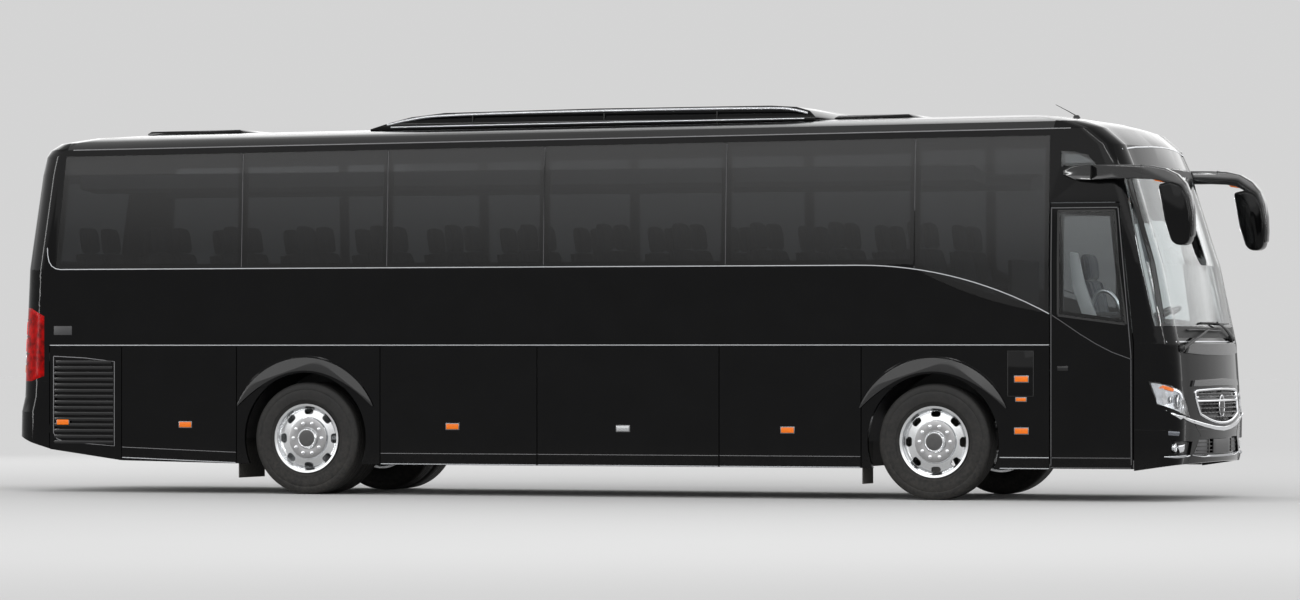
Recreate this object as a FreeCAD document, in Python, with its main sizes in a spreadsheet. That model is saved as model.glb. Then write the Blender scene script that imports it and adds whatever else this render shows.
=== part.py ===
"""Two-axle touring coach as a parametric FreeCAD document.

Frame: +X forward, +Y to the left, +Z up, with the origin on the ground at mid-length. Millimetres.
The driving sizes are cells of the sheet "dims". Every sub-part is an object of the document whose sizes are
bound to those cells, and each one is written to parts/ under its Label.
"""
import FreeCAD
import Part
import math
import os
import Sketcher

V = FreeCAD.Vector
doc = FreeCAD.newDocument("coach")

# ------------------------------------------------------------------------------------------------------
# Driving sizes: alias, value, what it is
# ------------------------------------------------------------------------------------------------------
DIMENSIONS = (
    ("panel_gap", 8, "gap round a moving panel"),
    ("wall", 45, "thickness of the body's walls, flaps and doors"),
    ("glass", 12, "thickness of a bonded pane and its rebate"),
    ("pane_gap", 10, "joint between two panes"),
    ("rebate", 40, "width of wall behind a pane's edge"),
    ("seat_gap", 5, "clearance of inner structure from the moving flaps"),
    ("hinge_step", 2, "from a panel's outer edge to its hinge axis, both ways"),
    ("hinge_seat", 0.3, "gap between a hinge's knuckle and what carries it"),
    # plan of the body
    ("front_bow", 90, "how far the front face bows forward of its corners"),
    ("front_corner_x", 200, "front corner, along the body"),
    ("front_corner_y", 240, "front corner, across the body"),
    ("rear_bow", 140, "how far the rear face bows back of its corners"),
    ("rear_corner_x", 260, "rear corner, along the body"),
    ("rear_corner_y", 200, "rear corner, across the body"),
    ("roof_rise", 0.0082, "rise of the roof for each unit of length, to the front"),
    # heights of the sides
    ("skirt_z", 284, "lower edge of the flaps"),
    ("flap_top", 1377, "upper edge of the flaps"),
    ("side_foot", 1385, "lower edge of the upper side wall"),
    ("window_foot", 2112, "lower edge of the side windows"),
    ("window_head", 62, "drop from the gutter to the side windows"),
    # seams along the body
    ("rear_seam", -5318, "between the rear end and the sides"),
    ("louvre_rear", -5310, "rear edge of the louvre doors"),
    ("louvre_front", -4565, "front edge of the louvre doors"),
    ("rear_panel", -3386, "rear edge of the rear arch panel"),
    ("bay_rear", -1936, "rear edge of the luggage bays"),
    ("bay_one", -382, "seam of the first and second luggage flaps"),
    ("bay_two", 1381, "seam of the second and third luggage flaps"),
    ("bay_front", 2728, "front edge of the luggage bays"),
    ("door_rear", 4483, "rear edge of the door"),
    ("door_front", 5241, "front edge of the door below its glass"),
    ("door_front_top", 5105, "front edge of the door at its top"),
    ("door_foot", 291, "lower edge of the door"),
    ("door_bend", 1400, "height where the door's front edge starts to lean"),
    ("door_top", 2647, "top of the door"),
    ("roof_seam", 4500, "front edge of the roof panel"),
    ("mask_foot", 640, "seam of the front mask and the front bumper"),
    ("mask_top", 1408, "seam of the front mask and the windscreen frame"),
    ("screen_foot", 1556, "lower edge of the windscreen"),
    ("screen_head", 2985, "upper edge of the windscreen"),
    ("rear_bumper_top", 1050, "top of the rear bumper's corners"),
    ("lid_foot", 760, "lower edge of the engine lid's opening"),
    ("lid_head", 1993, "upper edge of the engine lid's opening"),
    ("lid_half", 858, "half width of the engine lid's opening"),
    ("rear_pane_foot", 2150, "lower edge of the rear window"),
    ("rear_pane_head", 3010, "upper edge of the rear window"),
    ("rear_pane_half", 1010, "half width of the rear window"),
    # wheels
    ("front_axle_x", 3400, "front axle"),
    ("rear_axle_x", -2690, "rear axle"),
    ("tyre_radius", 522, "outside radius of a tyre, and height of the axles"),
    ("tyre_width", 295, "section width of a tyre"),
    ("tyre_outer", 1250, "outer face of the outer tyres from mid-plane"),
    ("twin_pitch", 338, "between the centres of twin tyres"),
    ("rim_radius", 321, "rim flange"),
    ("bead_radius", 296, "outside of the rim's barrel"),
    ("bead_seat", 0.3, "gap between a tyre's bead and its rim"),
    ("barrel_wall", 14, "wall of the rim's barrel"),
    ("hub_radius", 189, "ring that carries the wheel nuts"),
    ("cap_radius", 97, "centre cap"),
    ("hand_hole_circle", 250, "circle of the hand holes"),
    ("hand_hole_long", 92, "hand hole along its circle"),
    ("hand_hole_wide", 54, "hand hole across"),
    ("spindle_radius", 40, "wheel spindle"),
    ("running_gap", 0.5, "radial clearance of spindles and pins"),
    ("arch_radius", 612, "opening of a wheel arch"),
    ("flare_radius", 766, "outer edge of an arch flare"),
    ("flare_foot", 1000, "height of the flare's ends"),
    ("flare_proud", 14, "how far a flare stands out of the side"),
    # floor and frame
    ("deck_top", 1330, "passenger floor"),
    ("deck_thick", 60, "thickness of the passenger floor"),
    ("cab_top", 990, "driver's floor"),
    ("cab_rear", 4010, "rear edge of the driver's floor"),
    ("bay_floor", 330, "top of the luggage floor"),
    ("bay_floor_thick", 36, "thickness of the luggage floor"),
    ("bulkhead", 30, "thickness of a bulkhead"),
    ("rail_inner", 470, "inner face of a frame rail"),
    ("rail_wide", 80, "width of a frame rail"),
    ("rail_foot", 700, "lower face of a frame rail"),
    ("rail_tall", 170, "height of a frame rail"),
    ("kingpin_y", 990, "kingpin from mid-plane"),
    ("kingpin_radius", 24, "kingpin"),
    # seats
    ("seat_pitch", 745, "between two rows of seats"),
    ("seat_rear", -5090, "backrest of the last row"),
    ("aisle_half", 235, "half the width of the aisle"),
    ("seat_outer", 1185, "outer side of the seats from mid-plane"),
    ("seat_tall", 1190, "height of a seat's back above the deck"),
    # door arm
    ("arm_pivot_x", 5100, "pivot of the door arm, along the body"),
    ("arm_pivot_y", 1150, "pivot of the door arm from mid-plane"),
    ("arm_reach_x", 450, "from the arm's pivot back to its pin on the leaf"),
    ("arm_reach_y", 42, "from the arm's pivot out to its pin on the leaf"),
    # mirrors
    ("mirror_tip", 5840, "front of the mirrors"),
    ("mirror_y", 1415, "centre of a mirror from mid-plane"),
)
# Horizontal sections of the body: name, height, half width, front, rear, 1 where the plane rises with the roof
SECTIONS = (
    ("hem", 225, 1275, 5700, -5800, 0),
    ("bumper", 430, 1275, 5745, -5840, 0),
    ("nose", 760, 1275, 5750, -5834, 0),
    ("waist", 900, 1275, 5731, -5800, 0),
    ("belt", 1400, 1275, 5697, -5782, 0),
    ("sill", 2110, 1275, 5545, -5750, 0),
    ("header", 3000, 1240, 5268, -5630, 0),
    ("brow", 3170, 1224.66, 5195, -5600, 0),
    ("gutter", 3277, 1215, 5026, -5560, 1),
    ("shoulder", 3345, 1160, 4830, -5470, 1),
    ("cant", 3395, 1000, 4560, -5200, 1),
    ("crown", 3426, 650, 4320, -4800, 1),
)


class Size:
    """A number together with the sheet expression that gives it."""

    def __init__(self, value, text):
        self.value = float(value)
        self.text = text

    def joined(self, other, sign, value):
        return Size(value, "(%s %s %s)" % (self.text, sign, other.text))

    def __add__(self, other):
        other = as_size(other)
        return self.joined(other, "+", self.value + other.value)

    def __sub__(self, other):
        other = as_size(other)
        return self.joined(other, "-", self.value - other.value)

    def __mul__(self, other):
        other = as_size(other)
        return self.joined(other, "*", self.value * other.value)

    def __truediv__(self, other):
        other = as_size(other)
        return self.joined(other, "/", self.value / other.value)

    def __radd__(self, other):
        return as_size(other) + self

    def __rsub__(self, other):
        return as_size(other) - self

    def __rmul__(self, other):
        return as_size(other) * self

    def __neg__(self):
        return as_size(0) - self

    def __float__(self):
        return self.value


def as_size(number):
    """A plain number as a Size."""
    return number if isinstance(number, Size) else Size(number, repr(float(number)))


class Sheet:
    """The spreadsheet of driving sizes; each alias is an attribute that gives its Size."""

    def __init__(self, rows):
        self.sheet = doc.addObject("Spreadsheet::Sheet", "dims")
        for number, (alias, value, note) in enumerate(rows, start=1):
            self.sheet.set("A%d" % number, alias)
            self.sheet.set("B%d" % number, str(value))
            self.sheet.set("C%d" % number, note)
            self.sheet.setAlias("B%d" % number, alias)
        doc.recompute()
        for alias, value, note in rows:
            setattr(self, alias, Size(self.sheet.get(alias), "dims." + alias))

    def section(self, name, item):
        return getattr(self, "%s_%s" % (name, item))


def section_rows():
    """The table of sections as rows of the sheet."""
    for name, height, half, front, rear, rises in SECTIONS:
        yield name + "_z", height, name + " section: height at mid-length"
        yield name + "_half", half, name + " section: half width"
        yield name + "_front", front, name + " section: front at mid-plane"
        yield name + "_rear", rear, name + " section: rear at mid-plane"


d = Sheet(DIMENSIONS + tuple(section_rows()))


# ------------------------------------------------------------------------------------------------------
# Building blocks
# ------------------------------------------------------------------------------------------------------
def bind(thing, prop, size):
    """Tie a property to its sheet expression."""
    thing.setExpression(prop, as_size(size).text)


def box(name, x, y, z):
    """A box from its low and high sizes along each axis."""
    thing = doc.addObject("Part::Box", name)
    for prop, axis, (low, high) in (("Length", "x", x), ("Width", "y", y), ("Height", "z", z)):
        bind(thing, prop, as_size(high) - low)
        bind(thing, "Placement.Base." + axis, low)
    return thing


TURNS = {"X": FreeCAD.Rotation(V(0, 1, 0), 90), "Y": FreeCAD.Rotation(V(1, 0, 0), -90),
         "Z": FreeCAD.Rotation()}


def cylinder(name, axis, start, radius, length):
    """A cylinder that leaves its start point along a positive axis."""
    thing = doc.addObject("Part::Cylinder", name)
    thing.Placement = FreeCAD.Placement(V(), TURNS[axis])
    bind(thing, "Radius", radius)
    bind(thing, "Height", length)
    for letter, value in zip("xyz", start):
        bind(thing, "Placement.Base." + letter, value)
    return thing


def arc_middle(start, end, radius):
    """The middle of the arc from start to end; a positive radius bulges to the right of the way."""
    half = (end - start) * 0.5
    side = V(half.y, -half.x, 0).normalize()
    rise = abs(radius) - math.sqrt(max(radius * radius - half.Length ** 2, 0.0))
    return start + half + side * math.copysign(rise, radius)


def draw(sketch, outline):
    """Add a closed outline of (x, y) or (x, y, radius of the arc that leaves the point) to a sketch."""
    corners = [V(float(point[0]), float(point[1]), 0) for point in outline]
    ends = []
    first = sketch.GeometryCount
    for number, point in enumerate(outline):
        start, end = corners[number], corners[(number + 1) % len(corners)]
        radius = point[2] if len(point) > 2 else None
        if radius is None:
            sketch.addGeometry(Part.LineSegment(start, end))
            ends.append((1, 2))
        else:
            arc = Part.Arc(start, arc_middle(start, end, float(radius)), end)
            sketch.addGeometry(arc)
            ends.append((1, 2) if float(radius) > 0 else (2, 1))
            size = as_size(radius) if float(radius) > 0 else -as_size(radius)
            index = sketch.addConstraint(Sketcher.Constraint("Radius", first + number, size.value))
            bind(sketch, "Constraints[%d]" % index, size)
    for number, point in enumerate(outline):
        here, there = first + number, first + (number - 1) % len(outline)
        start, end = ends[number][0], ends[number - 1][1]
        sketch.addConstraint(Sketcher.Constraint("Coincident", there, end, here, start))
        for kind, value in zip(("DistanceX", "DistanceY"), point):
            size = as_size(value)
            index = sketch.addConstraint(Sketcher.Constraint(kind, -1, 1, here, start, size.value))
            bind(sketch, "Constraints[%d]" % index, size)


def plane_sketch(body, name, plane, offset):
    """A sketch on one of the body's own origin planes, moved along the plane's normal."""
    sketch = body.newObject("Sketcher::SketchObject", name)
    origin = [item for item in body.Origin.OriginFeatures if item.Role == plane + "_Plane"][0]
    sketch.AttachmentSupport = [(origin, "")]
    sketch.MapMode = "FlatFace"
    bind(sketch, "AttachmentOffset.Base.z", offset)
    return sketch


def prism(name, plane, outlines, low, high):
    """A pad of one or more outlines between two sizes along the plane's axis."""
    body = doc.addObject("PartDesign::Body", name)
    offset = -as_size(high) if plane == "XZ" else low
    sketch = plane_sketch(body, name + "_outline", plane, offset)
    for outline in outlines:
        draw(sketch, outline)
    pad = body.newObject("PartDesign::Pad", name + "_pad")
    pad.Profile = sketch
    bind(pad, "Length", as_size(high) - low)
    return body


def revolved(name, outline):
    """A full turn of an outline of (radius, y) about the Y axis."""
    body = doc.addObject("PartDesign::Body", name)
    sketch = plane_sketch(body, name + "_outline", "XY", 0)
    draw(sketch, outline)
    turn = body.newObject("PartDesign::Revolution", name + "_turn")
    turn.Profile = sketch
    turn.ReferenceAxis = (sketch, ["V_Axis"])
    turn.Angle = 360
    return body


def joined(kind, name, parts):
    """A boolean or compound of several objects."""
    thing = doc.addObject("Part::" + kind, name)
    if kind == "Compound":
        thing.Links = parts
    else:
        thing.Shapes = parts
    return thing


def fuse(name, *parts):
    return joined("MultiFuse", name, list(parts))


def welded(name, parts):
    """Members of a frame joined one after another."""
    whole = parts[0]
    for number, part in enumerate(parts[1:], start=1):
        weld = doc.addObject("Part::Fuse", "%s_%d" % (name, number))
        weld.Base, weld.Tool = whole, part
        whole = weld
    return whole


def common(name, *parts):
    return joined("MultiCommon", name, list(parts))


def group(name, *parts):
    """Solids that don't touch, kept as one piece."""
    return joined("Compound", name, list(parts))


CUTS = []


def cut(name, base, *tools):
    """The base without the tools; several tools have to be apart from each other."""
    thing = doc.addObject("Part::Cut", name)
    thing.Base = base
    thing.Tool = tools[0] if len(tools) == 1 else group(name + "_tools", *tools)
    CUTS.append(thing)
    return thing


def mirrored(name, source):
    """The same piece on the other side of the mid-plane."""
    thing = doc.addObject("Part::Mirroring", name)
    thing.Source = source
    thing.Normal = V(0, 1, 0)
    return thing


def both_sides(name, source):
    """A piece and its mirror image as one sub-part."""
    return group(name, source, mirrored(name + "_other", source))


def moved(name, thing, x, z=0):
    """A piece placed along and above where it was modelled."""
    placed = doc.addObject("Part::Compound", name)
    placed.Links = [thing]
    bind(placed, "Placement.Base.x", x)
    bind(placed, "Placement.Base.z", z)
    return placed


NODES = []


def node(label, thing):
    """Name an object as a sub-part."""
    thing.Label = label
    NODES.append(thing)
    return thing


# ------------------------------------------------------------------------------------------------------
# The body's outer, pane and inner surfaces
# ------------------------------------------------------------------------------------------------------
def corner_radius(along, across):
    """Radius of an arc that is tangent to the side and ends at the given steps."""
    return (along * along + across * across) / (across * 2)


def bow_radius(half, bow):
    """Radius of an arc over a chord of twice half that rises by bow."""
    return (half * half + bow * bow) / (bow * 2)


def plan_outline(half, front, rear):
    """A horizontal section, from the rear of the right side round the front."""
    front_corner = corner_radius(d.front_corner_x, d.front_corner_y)
    rear_corner = corner_radius(d.rear_corner_x, d.rear_corner_y)
    front_half, rear_half = half - d.front_corner_y, half - d.rear_corner_y
    nose, tail = front - d.front_bow, rear + d.rear_bow
    return [
        (tail + d.rear_corner_x, -half),
        (nose - d.front_corner_x, -half, front_corner),
        (nose, -front_half, bow_radius(front_half, d.front_bow)),
        (nose, front_half, front_corner),
        (nose - d.front_corner_x, half),
        (tail + d.rear_corner_x, half, rear_corner),
        (tail, rear_half, bow_radius(rear_half, d.rear_bow)),
        (tail, -rear_half, rear_corner),
    ]


def body_form(name, inset):
    """The whole body as one solid, with its surface moved inwards by inset."""
    body = doc.addObject("PartDesign::Body", name)
    sketches = []
    for section, _height, _half, _front, _rear, rises in SECTIONS:
        height = d.section(section, "z")
        if rises or section == "hem":
            height = height - inset
        sketch = plane_sketch(body, "%s_%s" % (name, section), "XY", height)
        if rises:
            sketch.AttachmentOffset = FreeCAD.Placement(V(), FreeCAD.Rotation(V(0, -1, 0), 1))
            sketch.setExpression("AttachmentOffset.Rotation.Angle", "atan(dims.roof_rise)")
        half = d.section(section, "half") - inset
        draw(sketch, plan_outline(half, d.section(section, "front") - inset,
                                  d.section(section, "rear") + inset))
        sketches.append(sketch)
    loft = body.newObject("PartDesign::AdditiveLoft", name + "_loft")
    loft.Profile = sketches[0]
    loft.Sections = sketches[1:]
    loft.Ruled = True
    return body


def gutter_height(x):
    """Height of the gutter line at a place along the body."""
    return d.gutter_z + d.roof_rise * x


outer_form = body_form("outer_form", as_size(0))
inner_form = body_form("inner_form", d.wall)
room_form = body_form("room_form", d.wall + d.seat_gap)
shell = cut("shell", outer_form, inner_form)

FAR_REAR, FAR_FRONT, FAR_SIDE, FAR_TOP = -6200, 6200, 1600, 3900
OVER = 1  # how far a cutting tool reaches past what it cuts


def zone(name, *outlines, low=-FAR_SIDE, high=FAR_SIDE):
    """Everything within side-view outlines, across the whole body."""
    return prism(name, "XZ", outlines, low, high)


def corner_end(section):
    """Where the straight side ends at a section's front."""
    return d.section(section, "front") - d.front_bow - d.front_corner_x


def corner_start(section):
    """Where the straight side starts at a section's rear."""
    return d.section(section, "rear") + d.rear_bow + d.rear_corner_x


def lean_x(height, ahead=0):
    """The door's leaning front edge at a height, and ahead of it."""
    lean = (d.door_front - d.door_front_top) / (d.door_top - d.door_bend)
    return d.door_front - lean * (as_size(height) - d.door_bend) + ahead


# ------------------------------------------------------------------------------------------------------
# Roof, side walls and their windows
# ------------------------------------------------------------------------------------------------------
ROOF_REAR_SEAM = -5150
roof_zone = zone("roof_zone", [
    (ROOF_REAR_SEAM, gutter_height(ROOF_REAR_SEAM)), (d.roof_seam, gutter_height(d.roof_seam)),
    (d.roof_seam, FAR_TOP), (ROOF_REAR_SEAM, FAR_TOP)])
roof_whole = common("roof_whole", shell, roof_zone)


def side_layer(name, depth, foot):
    """The flat right side above a height, as a layer that goes inwards to a depth."""
    over = 60
    lean = (d.header_half - d.gutter_half) / (d.gutter_z - d.header_z)
    outer = [(-d.sill_half, foot), (-d.sill_half, d.sill_z), (-d.header_half, d.header_z),
             (-(d.gutter_half - lean * over), d.gutter_z + over)]
    inner = [(y + depth, z) for y, z in reversed(outer)]
    return prism(name, "YZ", [outer + inner], FAR_REAR, FAR_FRONT)


wall_layer = side_layer("wall_layer", d.wall, d.hem_z)
pane_layer = side_layer("pane_layer", d.glass, d.hem_z)

side_rear = [(corner_start("gutter"), gutter_height(corner_start("gutter"))),
             (corner_start("header"), d.header_z),
             (d.rear_seam, d.sill_z), (d.rear_seam, d.side_foot)]
side_front_top = [(corner_end("header"), d.header_z),
                  (corner_end("gutter"), gutter_height(corner_end("gutter")))]
door_head = d.door_top + d.panel_gap
right_zone = zone("right_zone", side_rear + [
    (d.door_rear - d.panel_gap, d.side_foot), (d.door_rear - d.panel_gap, door_head),
    (lean_x(door_head), door_head)] + side_front_top, high=0)
left_zone = zone("left_zone", side_rear + [
    (d.door_front, d.side_foot), (d.door_front, d.door_bend),
    (lean_x(door_head), door_head)] + side_front_top, high=0)

# Side panes: name, rear edge, front edge, lean of the rear edge
PANES = (("a", -5257, -3335, 94), ("b", -3335, -1870, 0), ("c", -1870, -320, 0), ("d", -320, 1440, 0),
         ("e", 1440, 3225, 0))
FRONT_PANE_REAR, FRONT_PANE_FRONT = 3225, 4470
DIP_START, DIP_RADIUS = 2700, 3800
QUARTER_PANE = ((4575, 2975), (4900, 2985), (4820, 3075), (4700, 3105), (4575, 3112))
DRIVER_PANE = ((4560, 1654), (5165, 1574), (5055, 2568), (4560, 2568))
REBATE, SMALL_REBATE = 40, 25


def window_top(x):
    return gutter_height(x) - d.window_head


def dip(x):
    """Drop of the line that curves down under the foremost pane."""
    return DIP_RADIUS - math.sqrt(DIP_RADIUS ** 2 - (float(x) - DIP_START) ** 2)


def pane_outline(rear, front, rear_lean, inset):
    """A side pane; inset moves every edge inwards."""
    rear_foot = as_size(rear) + d.pane_gap / 2 + inset
    front_foot = as_size(front) - d.pane_gap / 2 - inset
    rear_head = rear_foot + rear_lean
    return [(rear_foot, d.window_foot + inset), (front_foot, d.window_foot + inset),
            (front_foot, window_top(front_foot) - inset), (rear_head, window_top(rear_head) - inset)]


def front_pane_outline(inset):
    """The foremost side pane, whose foot follows the curve."""
    rear = as_size(FRONT_PANE_REAR) + d.pane_gap / 2 + inset
    front = as_size(FRONT_PANE_FRONT) - inset
    foot = d.window_foot + inset
    return [(rear, foot - dip(rear), DIP_RADIUS), (front, foot - dip(front)),
            (front, window_top(front) - inset), (rear, window_top(rear) - inset)]


def shifted(outline, grow):
    """A small convex outline with its corners moved away from its middle."""
    middle_x = sum(x for x, _z in outline) / len(outline)
    middle_z = sum(z for _x, z in outline) / len(outline)
    return [(x + grow * math.copysign(1, x - middle_x), z + grow * math.copysign(1, z - middle_z))
            for x, z in outline]


def pane_outlines(inset):
    """All the right side's panes."""
    rows = [pane_outline(rear, front, lean, inset) for _name, rear, front, lean in PANES]
    return rows + [front_pane_outline(inset)]


pane_zone = zone("pane_zone", *pane_outlines(as_size(0)), QUARTER_PANE, high=0)
hole_zone = zone("hole_zone", *pane_outlines(d.rebate), shifted(QUARTER_PANE, -SMALL_REBATE), high=0)
left_pane_zone = zone("left_pane_zone", *pane_outlines(as_size(0)), QUARTER_PANE, DRIVER_PANE, high=0)
left_hole_zone = zone("left_hole_zone", *pane_outlines(d.rebate), shifted(QUARTER_PANE, -SMALL_REBATE),
                      shifted(DRIVER_PANE, -REBATE), high=0)


def glazed_wall(side, wall_zone, panes_zone, holes_zone):
    """A side wall with its openings and rebates, and its panes, as built on the right."""
    panes = common(side + "_panes", pane_layer, panes_zone)
    wall = common(side + "_solid", wall_layer, wall_zone)
    open_wall = cut(side + "_open", wall, holes_zone)
    return cut(side + "_rebated", open_wall, panes), panes


right_wall, right_panes = glazed_wall("right", right_zone, pane_zone, hole_zone)
left_wall, left_panes = glazed_wall("left", left_zone, left_pane_zone, left_hole_zone)
node("side_wall_right", right_wall)
node("side_wall_left", mirrored("left_wall", left_wall))
node("side_windows", group("all_panes", right_panes, mirrored("left_panes_placed", left_panes)))

# ------------------------------------------------------------------------------------------------------
# Front end
# ------------------------------------------------------------------------------------------------------
frame_rear = [(d.door_front + d.panel_gap, d.mask_top), (lean_x(door_head) + d.panel_gap, door_head),
              (lean_x(door_head), door_head)] + side_front_top + [
    (d.roof_seam, gutter_height(d.roof_seam)), (d.roof_seam, FAR_TOP)]
frame_zone = zone("frame_zone", frame_rear + [(FAR_FRONT, FAR_TOP), (FAR_FRONT, d.mask_top)])
SCREEN_EDGE = ((5433, 0), (5143, 2840), (5100, 0))
screen_zone = zone("screen_zone", [
    (SCREEN_EDGE[0][0], d.screen_foot), (SCREEN_EDGE[1][0], SCREEN_EDGE[1][1]), (SCREEN_EDGE[2][0],
                                                                                 d.screen_head),
    (FAR_FRONT, d.screen_head), (FAR_FRONT, d.screen_foot)])
front_shell = common("front_shell", shell, frame_zone)
node("front_frame", cut("front_frame_open", front_shell, screen_zone))
screen_solid = common("screen_solid", outer_form, screen_zone)
pane_form = body_form("pane_form", d.glass)
node("windscreen", cut("windscreen_pane", screen_solid, pane_form))

mask_rear = d.door_front + d.panel_gap
mask_zone = zone("mask_zone", [(mask_rear, d.mask_foot), (FAR_FRONT, d.mask_foot), (FAR_FRONT, d.mask_top),
                               (mask_rear, d.mask_top)])
mask_solid = common("mask_solid", shell, mask_zone)
HEADLAMP_FRONT = ((-1310, 1098), (-1263, 1053), (-1198, 1018), (-1082, 973), (-1006, 910), (-943, 750),
                  (-1151, 788), (-1239, 833), (-1310, 892))
HEADLAMP_SIDE = ((5371, 1098), (5456, 877), (5500, 740), (6000, 740), (6000, 1098))
headlamp_front = prism("headlamp_front", "YZ", [HEADLAMP_FRONT], mask_rear, FAR_FRONT)
headlamp_side = zone("headlamp_side", HEADLAMP_SIDE, high=0)
headlamp_tool = common("headlamp_tool", headlamp_front, headlamp_side)
headlamp_tools = both_sides("headlamp_tools", headlamp_tool)
GRILLE = ((-787, 989), (-760, 890), (-706, 766), (-360, 698), (0, 677), (360, 698), (706, 766), (760, 890),
          (787, 989), (0, 1006))
GRILLE_SLOTS = (((-755, 968), (-738, 912), (738, 912), (755, 968), (0, 982)),
                ((-726, 878), (-684, 784), (-350, 720), (0, 700), (350, 720), (684, 784), (726, 878)))
grille_tool = prism("grille_tool", "YZ", [GRILLE], mask_rear, FAR_FRONT)
node("front_mask", cut("mask_open", mask_solid, headlamp_tools, grille_tool))
node("headlamps", common("headlamp_solids", mask_solid, headlamp_tools))

RECESS, SKIN_OUT, STEP_OUT, ARM_OUT = 25, 8, 20, 36
recess_form = body_form("recess_form", as_size(RECESS))
raised_forms = {out: body_form("raised_form_%d" % out, as_size(-out)) for out in (SKIN_OUT, STEP_OUT,
                                                                                  ARM_OUT)}


def bars(name, rows, half):
    """Level bars across the front; a row gives height and thickness."""
    return [box("%s_%d" % (name, number), (mask_rear, FAR_FRONT), (-half, half),
                (z - thick / 2, z + thick / 2))
            for number, (z, thick) in enumerate(rows)]


def hollow(name, *outlines):
    """What is dug out of the front face within outlines."""
    return cut(name, prism(name + "_reach", "YZ", outlines, mask_rear, FAR_FRONT), recess_form)


def raised(name, out, *outlines, start=outer_form):
    """A plate that stands out of the front face within outlines."""
    reach = prism(name + "_reach", "YZ", outlines, d.door_front, FAR_FRONT)
    return cut(name, common(name + "_block", raised_forms[out], reach), start)



def strip(start, end, width):
    """The outline of a straight bar between two places."""
    along, rise = end[0] - start[0], end[1] - start[1]
    length = math.hypot(along, rise)
    across, up = -rise / length * width / 2, along / length * width / 2
    return [(start[0] - across, start[1] - up), (end[0] - across, end[1] - up),
            (end[0] + across, end[1] + up), (start[0] + across, start[1] + up)]


GRILLE_BAR_THICK = 12
GRILLE_BARS = tuple((z, GRILLE_BAR_THICK) for z in (745, 785, 825, 862, 925, 955))
grille_solid = common("grille_solid", mask_solid, grille_tool)
grille_hollow = cut("grille_hollow", hollow("grille_dug", *GRILLE_SLOTS),
                    *bars("grille_bar", GRILLE_BARS, d.belt_half))
TRIM_BLADE = ((-1200, 770), (-1100, 757), (-900, 727), (-600, 692), (-300, 665), (0, 654), (0, 618),
              (-300, 631),
              (-600, 660), (-900, 698), (-1100, 735), (-1200, 762))
blade_top = TRIM_BLADE[:6] + tuple((-y, z) for y, z in reversed(TRIM_BLADE[:5]))
blade_foot = tuple((-y, z) for y, z in reversed(TRIM_BLADE[7:])) + TRIM_BLADE[6:]
node("grille", group("grille_parts", cut("grille_open", grille_solid, grille_hollow),
                     raised("trim_blade", SKIN_OUT, blade_top + blade_foot)))
BONNET_LEDGE = ((-860, 1398), (-400, 1405), (0, 1407), (400, 1405), (860, 1398), (930, 1318), (500, 1302),
                (0, 1298),
                (-500, 1302), (-930, 1318))
NOSE_LEDGE = ((-800, 1075), (0, 1088), (800, 1075), (840, 1022), (0, 1030), (-840, 1022))
node("front_ledges", group("ledges", raised("bonnet_ledge", STEP_OUT, BONNET_LEDGE),
                           raised("nose_ledge", STEP_OUT, NOSE_LEDGE)))

# Wipers: pivot, end of the arm, reach of the blade across
WIPERS = (((-1060, 1375), (-360, 1548), (-920, -60)), ((620, 1445), (-36, 1592), (-460, 360)))
WIPER_BOSS, WIPER_POST, WIPER_ARM, WIPER_BLADE = 28, 12, 24, 18
wipers = []
for number, (pivot, end, (blade_start, blade_end)) in enumerate(WIPERS):
    name = "wiper_%d" % number
    arm = raised(name + "_arm", ARM_OUT, strip(pivot, end, WIPER_ARM), start=raised_forms[SKIN_OUT])
    blade = raised(name + "_blade", STEP_OUT, strip((blade_start, end[1]), (blade_end, end[1]), WIPER_BLADE))
    studs = [cylinder("%s_%s" % (name, word), "X", (d.door_front, *place), radius, FAR_FRONT - d.door_front)
             for word, place, radius in (("boss", pivot, WIPER_BOSS), ("post", end, WIPER_POST))]
    pins = [cut(name + "_pin_%d" % step, common("%s_stud_%d" % (name, step), raised_forms[ARM_OUT], stud),
                outer_form)
            for step, stud in enumerate(studs)]
    wipers.append(fuse(name, arm, blade, *pins))
node("wipers", group("wipers_both", *wipers))

BUMPER_FOOT, BUMPER_RISE = 276, 0.145
bumper_zone = zone("bumper_zone", [
    (mask_rear, BUMPER_FOOT), (FAR_FRONT, BUMPER_FOOT + (FAR_FRONT - float(mask_rear)) * BUMPER_RISE),
    (FAR_FRONT, d.mask_foot), (mask_rear, d.mask_foot)])
BUMPER_MOUTH = ((-710, 560), (710, 560), (850, 408), (-850, 408))
FOG_RECESS = ((-1235, 548), (-1165, 542), (-880, 532), (-930, 415), (-1235, 425))
FOG_LAMP, FOG_RADIUS = (-1190, 482), 36
mouth = hollow("mouth", BUMPER_MOUTH)
fog_hollow = hollow("fog_hollow", FOG_RECESS)
bumper_solid = common("bumper_solid", shell, bumper_zone)
node("front_bumper", cut("bumper_open", bumper_solid, mouth, both_sides("fog_hollows", fog_hollow)))
fog_round = cylinder("fog_round", "X", (d.door_front, *FOG_LAMP), FOG_RADIUS, FAR_FRONT - d.door_front)
node("fog_lamps", both_sides("fog_both", cut("fog_lamp", common("fog_block", outer_form, fog_round),
                                             recess_form)))

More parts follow.
